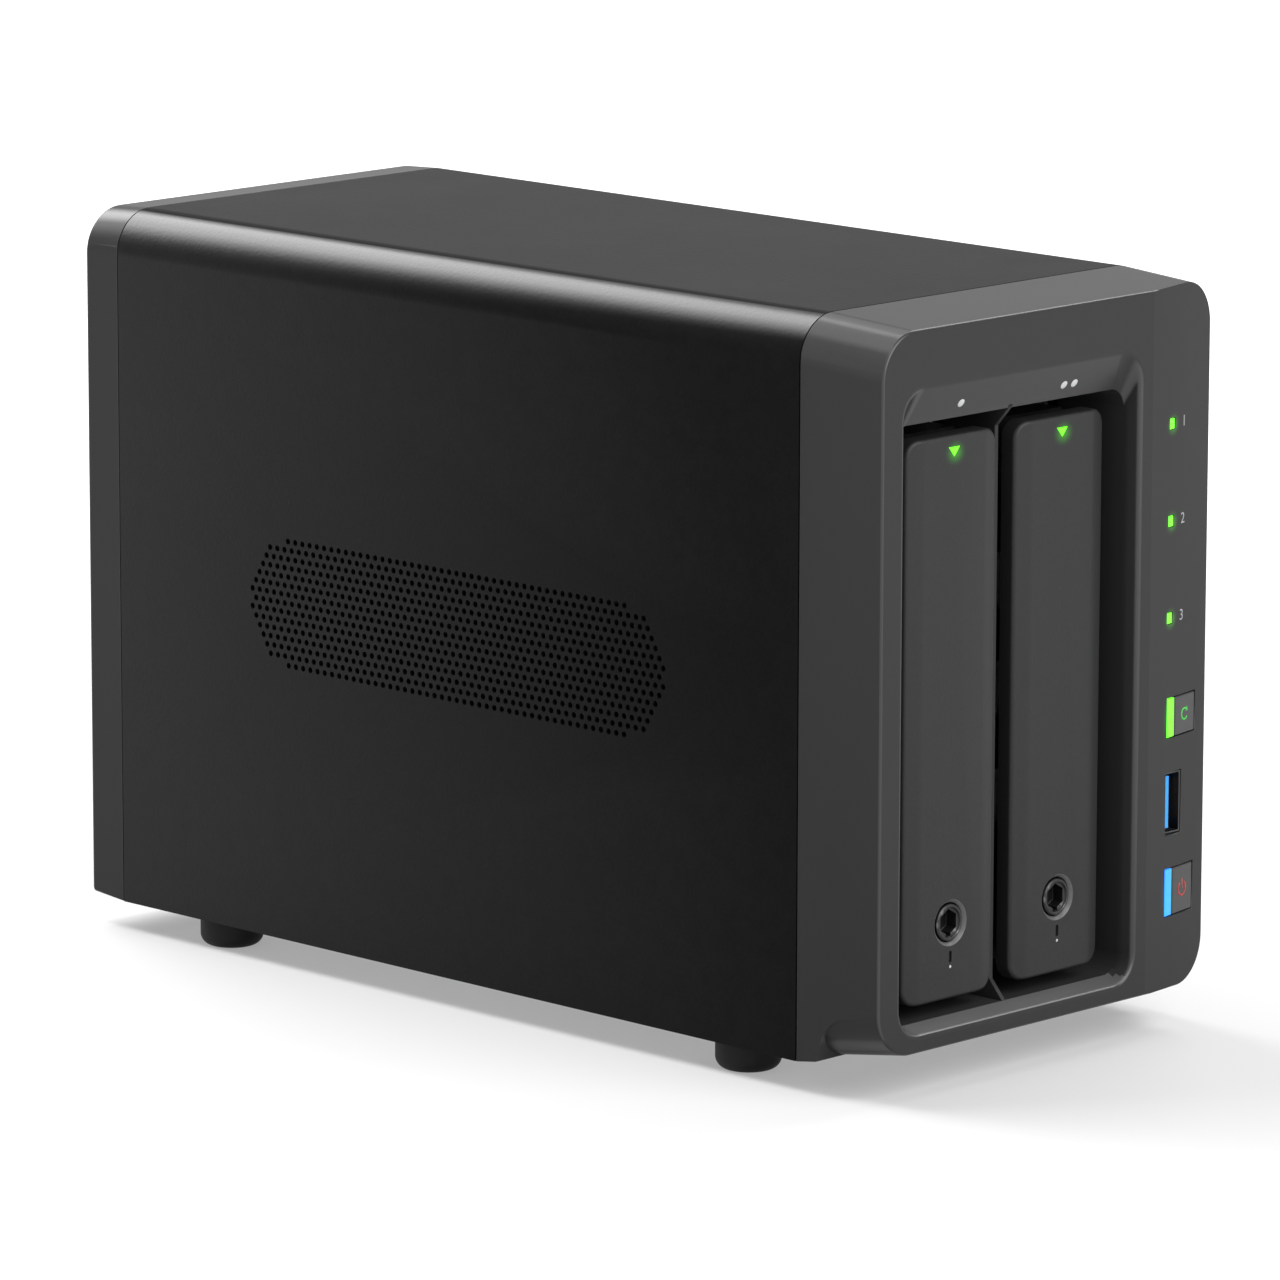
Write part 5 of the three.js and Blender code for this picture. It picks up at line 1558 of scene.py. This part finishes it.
# ---------- front controls ----------
class MESH_OT_storage_front_controls(bpy.types.Operator):
    """Status lights, buttons with their light bars, and the front port"""

    bl_idname = "mesh.storage_front_controls"
    bl_label = "Front controls"

    def execute(self, context):
        for name in INDICATORS:
            dress(name, "Green light", 0.1 * MM)
        for name, (bar, body) in BUTTONS.items():
            self.button(name, bar, body)
        self.usb()
        return {"FINISHED"}

    def button(self, name, bar, body):
        s0, s1, z0, z1 = button_window(name)
        bar_high = strip_limits(bar)[1]
        whole_low, whole_high = strip_limits(name)
        middle_s = (bar_high.x + s1) / 2
        middle_z = (z0 + z1) / 2
        cap = slab(f"{name}_cap", bar_high.x + 0.05, s1, 0, 4, z0, z1, transform=STRIP)
        flange = slab(
            "flange", bar_high.x + 0.05, whole_high.x, 2.7, 4, whole_low.z, whole_high.z, transform=STRIP
        )
        plunger = slab(
            "plunger", middle_s - 1.5, middle_s + 1.5, 3, whole_high.y, middle_z - 1.5, middle_z + 1.5,
            transform=STRIP,
        )
        fuse(cap, flange, plunger)
        soften(cap, 0.3 * MM, segments=3)
        finish(cap, "Bezel finish", body, "bezel_finish", name)
        light = slab(f"{bar}_lens", s0, bar_high.x - 0.05, 0.05, 4, z0, z1, transform=STRIP)
        soften(light, 0.2 * MM, segments=2)
        glow = "Green light" if name == "copy_button" else "Blue light"
        record_slot = "green_light" if name == "copy_button" else "blue_light"
        finish(light, glow, body, record_slot, bar)
        if name == "copy_button":
            mark = ring_mark(middle_s, middle_z, 1.15, 0.42, 60, 330, arrow=True)
            finish(mark, "Bright green mark", body, "green_light")
        else:
            mark = ring_mark(middle_s, middle_z, 1.45, 0.42, 125, 415, stem=True)
            finish(mark, "Red mark", body, "bezel_finish")
            mark.name = "power_mark"

    def usb(self):
        low, high = limits("front_usb_shell")
        shell = slab("front_usb_port", low.x, high.x, low.y, high.y, low.z, high.z)
        cut(
            shell,
            slab(
                "inside", low.x + 0.4, high.x - 0.4, low.y - 1, high.y - 1.5, low.z + 0.4, high.z - 0.4
            ),
        )
        soften(shell, 0.18 * MM)
        finish(shell, "Dark nickel", "case", "plated_steel", "front_usb_shell")
        dress("front_usb_tongue", "Blue insert", 0.2 * MM)
        low, high = limits("front_usb_tongue")
        contacts = []
        span = high.z - low.z - 2
        for index in range(4):
            z = low.z + 1 + span * (index + 0.5) / 4
            x0, x1 = high.x - 0.02, high.x + 0.08
            contacts.append(slab("contact", x0, x1, low.y + 1.2, high.y - 1, z - 0.5, z + 0.5))
        for index in range(5):
            z = low.z + 1 + span * index / 4
            x0, x1 = high.x - 0.02, high.x + 0.1
            contacts.append(slab("contact", x0, x1, low.y + 0.4, low.y + 1.0, z - 0.3, z + 0.3))
        finish(merged("front_usb_contacts", contacts), "Contact gold", "case", "plated_steel")


def ring_mark(s, z, radius, width, start, end, arrow=False, stem=False):
    """A thin open ring on the strip, with an arrow head or an upright stem."""
    steps = 36
    outer = []
    inner = []
    for step in range(steps + 1):
        turn = math.radians(start + (end - start) * step / steps)
        for reach, side in ((radius + width / 2, outer), (radius - width / 2, inner)):
            side.append((s + reach * math.cos(turn), z + reach * math.sin(turn)))
    outline = outer + inner[::-1]

    def solid(points):
        return extruded(
            "mark", points, lambda u, v: (u, -0.035, v), lambda u, v: (u, 0.03, v), transform=STRIP
        )

    pieces = [solid(outline)]
    if stem:
        half = width / 2
        top = z + radius + 0.6
        pieces.append(solid([(s - half, z), (s + half, z), (s + half, top), (s - half, top)]))
    if arrow:
        turn = math.radians(start)
        along = Vector((math.sin(turn), -math.cos(turn)))
        across = Vector((math.cos(turn), math.sin(turn)))
        tip = Vector((s, z)) + across * radius
        head = [tip + along * 0.9, tip + across * 0.62, tip - across * 0.62]
        pieces.append(solid([tuple(point) for point in head]))
    return merged("copy_mark", pieces)


# ---------- rear pieces ----------
class MESH_OT_storage_rear_pieces(bpy.types.Operator):
    """Rear ports, reset button and screws"""

    bl_idname = "mesh.storage_rear_pieces"
    bl_label = "Rear ports and screws"

    def execute(self, context):
        for name in ("rear_usb_port_lower", "rear_usb_port_upper"):
            self.flat_port(name, "Blue insert")
        self.flat_port("expansion_port", "Black plastic")
        for name in ("lan_port_1", "lan_port_2"):
            self.lan_port(name)
        self.power_jack()
        dress("reset_button", "Black plastic", 0.1 * MM)
        for name in (*FAN_SCREWS, *COVER_SCREWS):
            self.screw(name)
        return {"FINISHED"}

    def flat_port(self, name, tongue_material):
        """Folded steel shell round a tongue with contacts."""
        low, high = limits(name)
        shell = slab(f"{name}_shell", low.x, high.x, low.y, high.y, low.z, high.z)
        inside = (low.x + 0.4, high.x - 0.4, low.y + 1.5, high.y + 1, low.z + 0.4, high.z - 0.4)
        cut(shell, slab("inside", *inside))
        soften(shell, 0.15 * MM)
        finish(shell, "Plated steel", "case", "plated_steel", name)
        x0, x1, z1 = low.x + 1.2, high.x - 1.2, high.z - 1.2
        tongue = slab(f"{name}_tongue", x0, x1, low.y + 1, high.y - 1, z1 - 1.8, z1)
        soften(tongue, 0.2 * MM)
        finish(tongue, tongue_material, "case", "plated_steel")
        contacts = []
        for index in range(4):
            x = x0 + (x1 - x0) * (index + 0.5) / 4
            contacts.append(slab("contact", x - 0.5, x + 0.5, low.y + 2, high.y - 2.2, z1 - 1.88, z1 - 1.7))
        finish(merged(f"{name}_contacts", contacts), "Contact gold", "case", "plated_steel")

    def power_jack(self):
        low, high = limits("power_jack")
        x = (low.x + high.x) / 2
        z = low.z + 5.9
        housing = slab("power_jack_housing", low.x, high.x, low.y, high.y, low.z, high.z)
        ring = turned(
            "barrel", (x, high.y + 1, z), (0, -1, 0),
            [(0, 0), (3.9, 0), (3.9, 1), (3.2, 1.7), (3.2, 11), (0, 11)],
        )
        cut(housing, ring)
        soften(housing, 0.3 * MM)
        finish(housing, "Black plastic", "case", "black_plastic", "power_jack")
        profile = [(0, 0), (0.75, 0), (1.05, 0.4), (1.05, 9.5), (0, 9.5)]
        pin = turned("power_jack_pin", (x, high.y - 1, z), (0, -1, 0), profile, 32)
        finish(pin, "Plated steel", "case", "plated_steel")

    def lan_port(self, name):
        """Steel shell, black lining with a latch notch, contacts and two lamps."""
        low, high = limits(name)
        middle = (low.x + high.x) / 2
        mouth = (middle - 5.9, middle + 5.9, low.y + 7, high.y + 1, low.z + 2.6, low.z + 9.8)
        notch = (middle - 3, middle + 3, high.y - 9, high.y + 1, low.z + 1.0, low.z + 5)
        shell = slab(f"{name}_shell", low.x, high.x, low.y, high.y, low.z, high.z)
        x0, x1 = low.x + 0.9, high.x - 0.9
        cut(shell, slab("window", x0, x1, high.y - 12, high.y + 1, low.z + 0.6, high.z - 0.6))
        soften(shell, 0.2 * MM)
        finish(shell, "Plated steel", "case", "plated_steel", name)
        lining = slab(
            f"{name}_lining", low.x + 0.9, high.x - 0.9, high.y - 14, high.y - 0.15, low.z + 0.6, high.z - 0.6
        )
        cut(lining, slab("mouth", *mouth), slab("notch", *notch))
        soften(lining, 0.15 * MM)
        finish(lining, "Black plastic", "case", "plated_steel")
        contacts = []
        for index in range(8):
            x = middle + (index - 3.5) * 1.02
            contacts.append(
                slab("contact", x - 0.2, x + 0.2, high.y - 12, high.y - 2.5, high.z - 3.9, high.z - 3.5)
            )
        finish(merged(f"{name}_contacts", contacts), "Contact gold", "case", "plated_steel")
        for hand, glow in ((-1, "Green light"), (1, "Chip plastic")):
            x = middle + hand * 5.6
            label = f"{name}_lamp_{'left' if hand < 0 else 'right'}"
            y0, y1 = high.y - 0.2, high.y + 0.12
            light = slab(label, x - 1.2, x + 1.2, y0, y1, high.z - 2.6, high.z - 1.1)
            soften(light, 0.08 * MM)
            finish(light, glow, "case", "plated_steel")

    def screw(self, name):
        """Pan head with a cross recess."""
        low, high = limits(name)
        centre = ((low.x + high.x) / 2, low.y, (low.z + high.z) / 2)
        length = high.y - low.y
        head = 1.8
        profile = [(0, 0), (1.5, 0), (1.8, 0.5), (1.8, length - head), (3.15, length - head)]
        for step in range(7):
            turn = math.radians(15 * step)
            along = length - head + 0.35 + 1.4 * math.sin(turn)
            profile.append((3.2 - 1.5 * (1 - math.cos(turn)) ** 0.8, along))
        profile.append((0, length - 0.03))
        made = turned(f"{name}_steel", centre, (0, 1, 0), profile, 40)
        y1 = high.y
        cross = [
            slab(
                "cross", centre[0] - across, centre[0] + across, y1 - 1.0, y1 + 1,
                centre[2] - upright, centre[2] + upright,
            )
            for across, upright in ((1.55, 0.32), (0.32, 1.55))
        ]
        cut(made, *cross)
        made.data.shade_smooth()
        made.data.set_sharp_from_angle(angle=math.radians(35))
        finish(made, "Black oxide", "case", "screw_steel", name)


# ---------- fan ----------
class MESH_OT_storage_fan(bpy.types.Operator):
    """Fan frame and rotor"""

    bl_idname = "mesh.storage_fan"
    bl_label = "Fan"

    def execute(self, context):
        self.frame_piece()
        self.rotor()
        return {"FINISHED"}

    def frame_piece(self):
        low, high = limits("fan_frame")
        square = (low.x, high.x, low.z, high.z)
        made = prism("fan_housing", square, low.y, high.y, 4, arc=12)
        bore = high.x - 1.4
        profile = [(0, -1), (bore + 0.9, -1), (bore, 2.5), (bore, high.y - low.y - 2.5)]
        profile += [(bore + 0.9, high.y - low.y + 1), (0, high.y - low.y + 1)]
        cut(made, turned("bore", (0, low.y, FAN_Z), (0, 1, 0), profile, 120))
        for hand in (-1, 1):
            for rise in (-1, 1):
                centre = (hand * (high.x - 4.75), low.y - 1, FAN_Z + rise * (high.x - 4.75))
                cut(made, rod("hole", centre, (0, 1, 0), 30, 2.1))
        hub = turned(
            "hub", (0, low.y, FAN_Z), (0, 1, 0), [(0, 0), (16.9, 0), (17.5, 0.6), (17.5, 2), (0, 2)], 96
        )
        arms = []
        for degrees in (30, 150, 270):
            turn = Matrix.Translation((0, 0, FAN_Z)) @ Matrix.Rotation(math.radians(degrees), 4, "Y")
            arms.append(slab("arm", 5, bore + 0.6, low.y, low.y + 2, -2, 2, transform=turn))
        fuse(made, hub, *arms)
        soften(made, 0.4 * MM)
        finish(made, "Black plastic", "case", "black_plastic", "fan_frame")

    def rotor(self):
        """Hub and seven swept, twisted blades."""
        low, high = limits("fan_rotor")
        depth = high.y - low.y
        hub_radius = 17.0
        profile = [(0, 0), (hub_radius - 0.6, 0), (hub_radius, 0.6), (hub_radius, depth - 2)]
        profile += [(hub_radius - 0.6, depth - 0.6), (hub_radius - 2, depth), (0, depth)]
        pieces = [turned("hub", (0, low.y, FAN_Z), (0, 1, 0), profile, 96)]
        inner = hub_radius - 1.5
        reach = high.x
        middle = (low.y + high.y) / 2
        chord = depth - 3
        for blade in range(7):
            spin = Matrix.Rotation(blade * math.tau / 7, 3, "Y")
            loops = []
            for step in range(13):
                share = step / 12
                pitch = math.radians(52 - 18 * share)
                outline = [(k / 10 - 0.5, 0.8) for k in range(11)] + [(0.5 - k / 10, -0.8) for k in range(11)]
                loop = []
                for along, sheet in outline:
                    taper = math.sqrt(max(1 - (2 * along) ** 4, 0.05))
                    bow = 1.6 * (0.25 - along**2) * 4
                    y, z = along * chord, bow + sheet * taper
                    across = y * math.sin(pitch) + z * math.cos(pitch) - 7 * share**2
                    limit = math.sqrt(max((reach - 0.1) ** 2 - across**2, 0))
                    out = min(inner + share * (reach - inner), limit)
                    place = spin @ Vector((out, y * math.cos(pitch) - z * math.sin(pitch), across))
                    loop.append(place + Vector((0, middle, FAN_Z)))
                loops.append(loop)
            pieces.append(loft("blade", loops))
        made = merged("fan_blades", pieces)
        made.data.shade_smooth()
        made.data.set_sharp_from_angle(angle=math.radians(40))
        finish(made, "Black plastic", "fan", "black_plastic", "fan_rotor")


# ---------- inside ----------
class MESH_OT_storage_inside(bpy.types.Operator):
    """Base pan, cage, boards and what is on them"""

    bl_idname = "mesh.storage_inside"
    bl_label = "Inside"

    def execute(self, context):
        for name in ("base_pan", "cage_left", "cage_right", "cage_divider", "cage_top"):
            dress(name, "Zinc sheet", 0.2 * MM)
        for name in ("front_board", "mainboard", "rear_board", "backplane", "memory_module"):
            dress(name, "Circuit board", 0.1 * MM)
        for name in ("memory_socket", "board_connector", "drive_socket_1", "drive_socket_2"):
            dress(name, "Black plastic", 0.15 * MM)
        dress("heatsink", "Cast aluminium", 0.2 * MM)
        dress("clock_battery", "Plated steel", 0.3 * MM)
        low, high = limits("memory_module")
        chips = []
        flat = min(range(3), key=lambda axis: (high - low)[axis])
        long = max(range(3), key=lambda axis: (high - low)[axis])
        for index in range(4):
            start, end = low.copy(), high.copy()
            span = (high - low)[long]
            start[long] = low[long] + span * (index + 0.22) / 4
            end[long] = low[long] + span * (index + 0.78) / 4
            side = 3 - flat - long
            start[side] += (high - low)[side] * 0.2
            end[side] -= (high - low)[side] * 0.3
            start[flat] = high[flat] - 0.1
            end[flat] = high[flat] + 0.2
            chips.append(slab("chip", start.x, end.x, start.y, end.y, start.z, end.z))
        finish(merged("memory_chips", chips), "Chip plastic", "case", "circuit_board")
        return {"FINISHED"}


# ---------- stage ----------
CAMERA_PLACE = Vector((-1.225378, -1.199650, 0.414004))
CAMERA_YAW = 0.795886766
CAMERA_PITCH = -0.197035337
CAMERA_ROLL = 0.0020834
CAMERA_LENS = 233.78


def make_camera():
    forward = Vector(
        (
            math.sin(CAMERA_YAW) * math.cos(CAMERA_PITCH),
            math.cos(CAMERA_YAW) * math.cos(CAMERA_PITCH),
            math.sin(CAMERA_PITCH),
        )
    )
    level = forward.cross(Vector((0, 0, 1))).normalized()
    up = level.cross(forward)
    right = level * math.cos(CAMERA_ROLL) + up * math.sin(CAMERA_ROLL)
    upward = -level * math.sin(CAMERA_ROLL) + up * math.cos(CAMERA_ROLL)
    turn = Matrix((right, upward, -forward)).transposed().to_4x4()
    data = bpy.data.cameras.new("camera")
    data.lens = CAMERA_LENS
    data.sensor_width = 36
    data.clip_start = 0.05
    data.clip_end = 30
    camera = bpy.data.objects.new("camera", data)
    camera.matrix_world = Matrix.Translation(CAMERA_PLACE) @ turn
    bpy.context.scene.collection.objects.link(camera)
    bpy.context.scene.camera = camera


def area_light(name, place, target, size, power, size_y=None):
    data = bpy.data.lights.new(name, "AREA")
    data.energy = power
    data.size = size
    if size_y:
        data.shape = "RECTANGLE"
        data.size_y = size_y
    lamp = bpy.data.objects.new(name, data)
    lamp.location = place
    aim = Vector(target) - Vector(place)
    lamp.rotation_euler = aim.to_track_quat("-Z", "Y").to_euler()
    bpy.context.scene.collection.objects.link(lamp)


def camera_rays(tree):
    """1 for rays that should meet the white surroundings: camera, glossy and transmission."""
    path = add(tree, "ShaderNodeLightPath")
    first = add(tree, "ShaderNodeMath", operation="MAXIMUM")
    second = add(tree, "ShaderNodeMath", operation="MAXIMUM")
    tree.links.new(path.outputs["Is Camera Ray"], first.inputs[0])
    tree.links.new(path.outputs["Is Glossy Ray"], first.inputs[1])
    tree.links.new(first.outputs[0], second.inputs[0])
    tree.links.new(path.outputs["Is Transmission Ray"], second.inputs[1])
    return second.outputs[0]


class SCENE_OT_storage_stage(bpy.types.Operator):
    """Pale floor, soft studio light, white surroundings and the camera"""

    bl_idname = "scene.storage_stage"
    bl_label = "Stage"

    def execute(self, context):
        make_camera()
        scene = context.scene
        scene.view_settings.view_transform = "Standard"
        world = bpy.data.worlds.new("studio")
        world.use_nodes = True
        scene.world = world
        tree = world.node_tree
        ambient = tree.nodes["Background"]
        ambient.inputs["Color"].default_value = (1, 1, 1, 1)
        level = add(tree, "ShaderNodeMapRange")
        level.inputs["To Min"].default_value = 0.15
        level.inputs["To Max"].default_value = 1.0
        tree.links.new(camera_rays(tree), level.inputs["Value"])
        tree.links.new(level.outputs["Result"], ambient.inputs["Strength"])

        bm = bmesh.new()
        bmesh.ops.create_grid(bm, x_segments=1, y_segments=1, size=6000)
        floor = object_from("floor", bm)
        material = bpy.data.materials.new("Pale floor")
        material.use_nodes = True
        tree = material.node_tree
        shader = tree.nodes["Principled BSDF"]
        shader.inputs["Base Color"].default_value = (0.55, 0.55, 0.55, 1)
        shader.inputs["Roughness"].default_value = 0.9
        shader.inputs["Specular IOR Level"].default_value = 0.0
        shader.inputs["Emission Color"].default_value = (1, 1, 1, 1)
        place = add(tree, "ShaderNodeTexCoord")
        reach = add(tree, "ShaderNodeVectorMath", operation="LENGTH")
        fade = add(tree, "ShaderNodeMapRange", interpolation_type="SMOOTHSTEP")
        fade.inputs["From Min"].default_value = 0.25
        fade.inputs["From Max"].default_value = 1.1
        fade.inputs["To Min"].default_value = 0.32
        fade.inputs["To Max"].default_value = 0.95
        glow = add(tree, "ShaderNodeMath", operation="MULTIPLY")
        tree.links.new(place.outputs["Object"], reach.inputs[0])
        tree.links.new(reach.outputs["Value"], fade.inputs["Value"])
        tree.links.new(fade.outputs["Result"], glow.inputs[1])
        tree.links.new(camera_rays(tree), glow.inputs[0])
        tree.links.new(glow.outputs[0], shader.inputs["Emission Strength"])
        floor.data.materials.append(material)

        area_light("rear_softbox", (-0.05, 1.1, 1.0), (0, 0, 0.14), 1.15, 24, 1.0)
        area_light("upper_left_softbox", (-0.5, 0.42, 1.3), (0, 0, 0.14), 0.45, 6.4)
        area_light("right_softbox", (0.76, 0.05, 0.88), (0, -0.05, 0.1), 0.9, 6.5, 0.32)
        area_light("front_softbox", (0.0, -0.95, 0.6), (0, -0.11, 0.13), 0.9, 10.5)
        return {"FINISHED"}


# ---------- panel, registration and running ----------
OPERATORS = (
    SCENE_OT_storage_stage,
    MESH_OT_storage_cover,
    MESH_OT_storage_front_bezel,
    MESH_OT_storage_rear,
    MESH_OT_storage_feet,
    MESH_OT_storage_tray_fronts,
    MESH_OT_storage_trays,
    MESH_OT_storage_front_controls,
    MESH_OT_storage_rear_pieces,
    MESH_OT_storage_fan,
    MESH_OT_storage_inside,
)


class VIEW3D_PT_storage_box(bpy.types.Panel):
    """Lists the pieces of the storage box"""

    bl_idname = "VIEW3D_PT_storage_box"
    bl_label = "Storage box"
    bl_space_type = "VIEW_3D"
    bl_region_type = "UI"
    bl_category = "Storage box"

    def draw(self, context):
        layout = self.layout
        for settings in (context.scene.storage_sizes, context.scene.storage_colours):
            for key in settings.__annotations__:
                layout.prop(settings, key)
        for operator in OPERATORS:
            layout.operator(operator.bl_idname)


CLASSES = (StorageBoxSizes, StorageBoxColours, *OPERATORS, VIEW3D_PT_storage_box)


def register():
    for entry in CLASSES:
        bpy.utils.register_class(entry)
    bpy.types.Scene.storage_sizes = PointerProperty(type=StorageBoxSizes)
    bpy.types.Scene.storage_colours = PointerProperty(type=StorageBoxColours)


def unregister():
    del bpy.types.Scene.storage_colours
    del bpy.types.Scene.storage_sizes
    for entry in reversed(CLASSES):
        bpy.utils.unregister_class(entry)


def main():
    register()
    make_materials(bpy.context.scene.storage_colours)
    for operator in OPERATORS:
        category, name = operator.bl_idname.split(".")
        getattr(getattr(bpy.ops, category), name)()


if __name__ == "__main__":
    main()
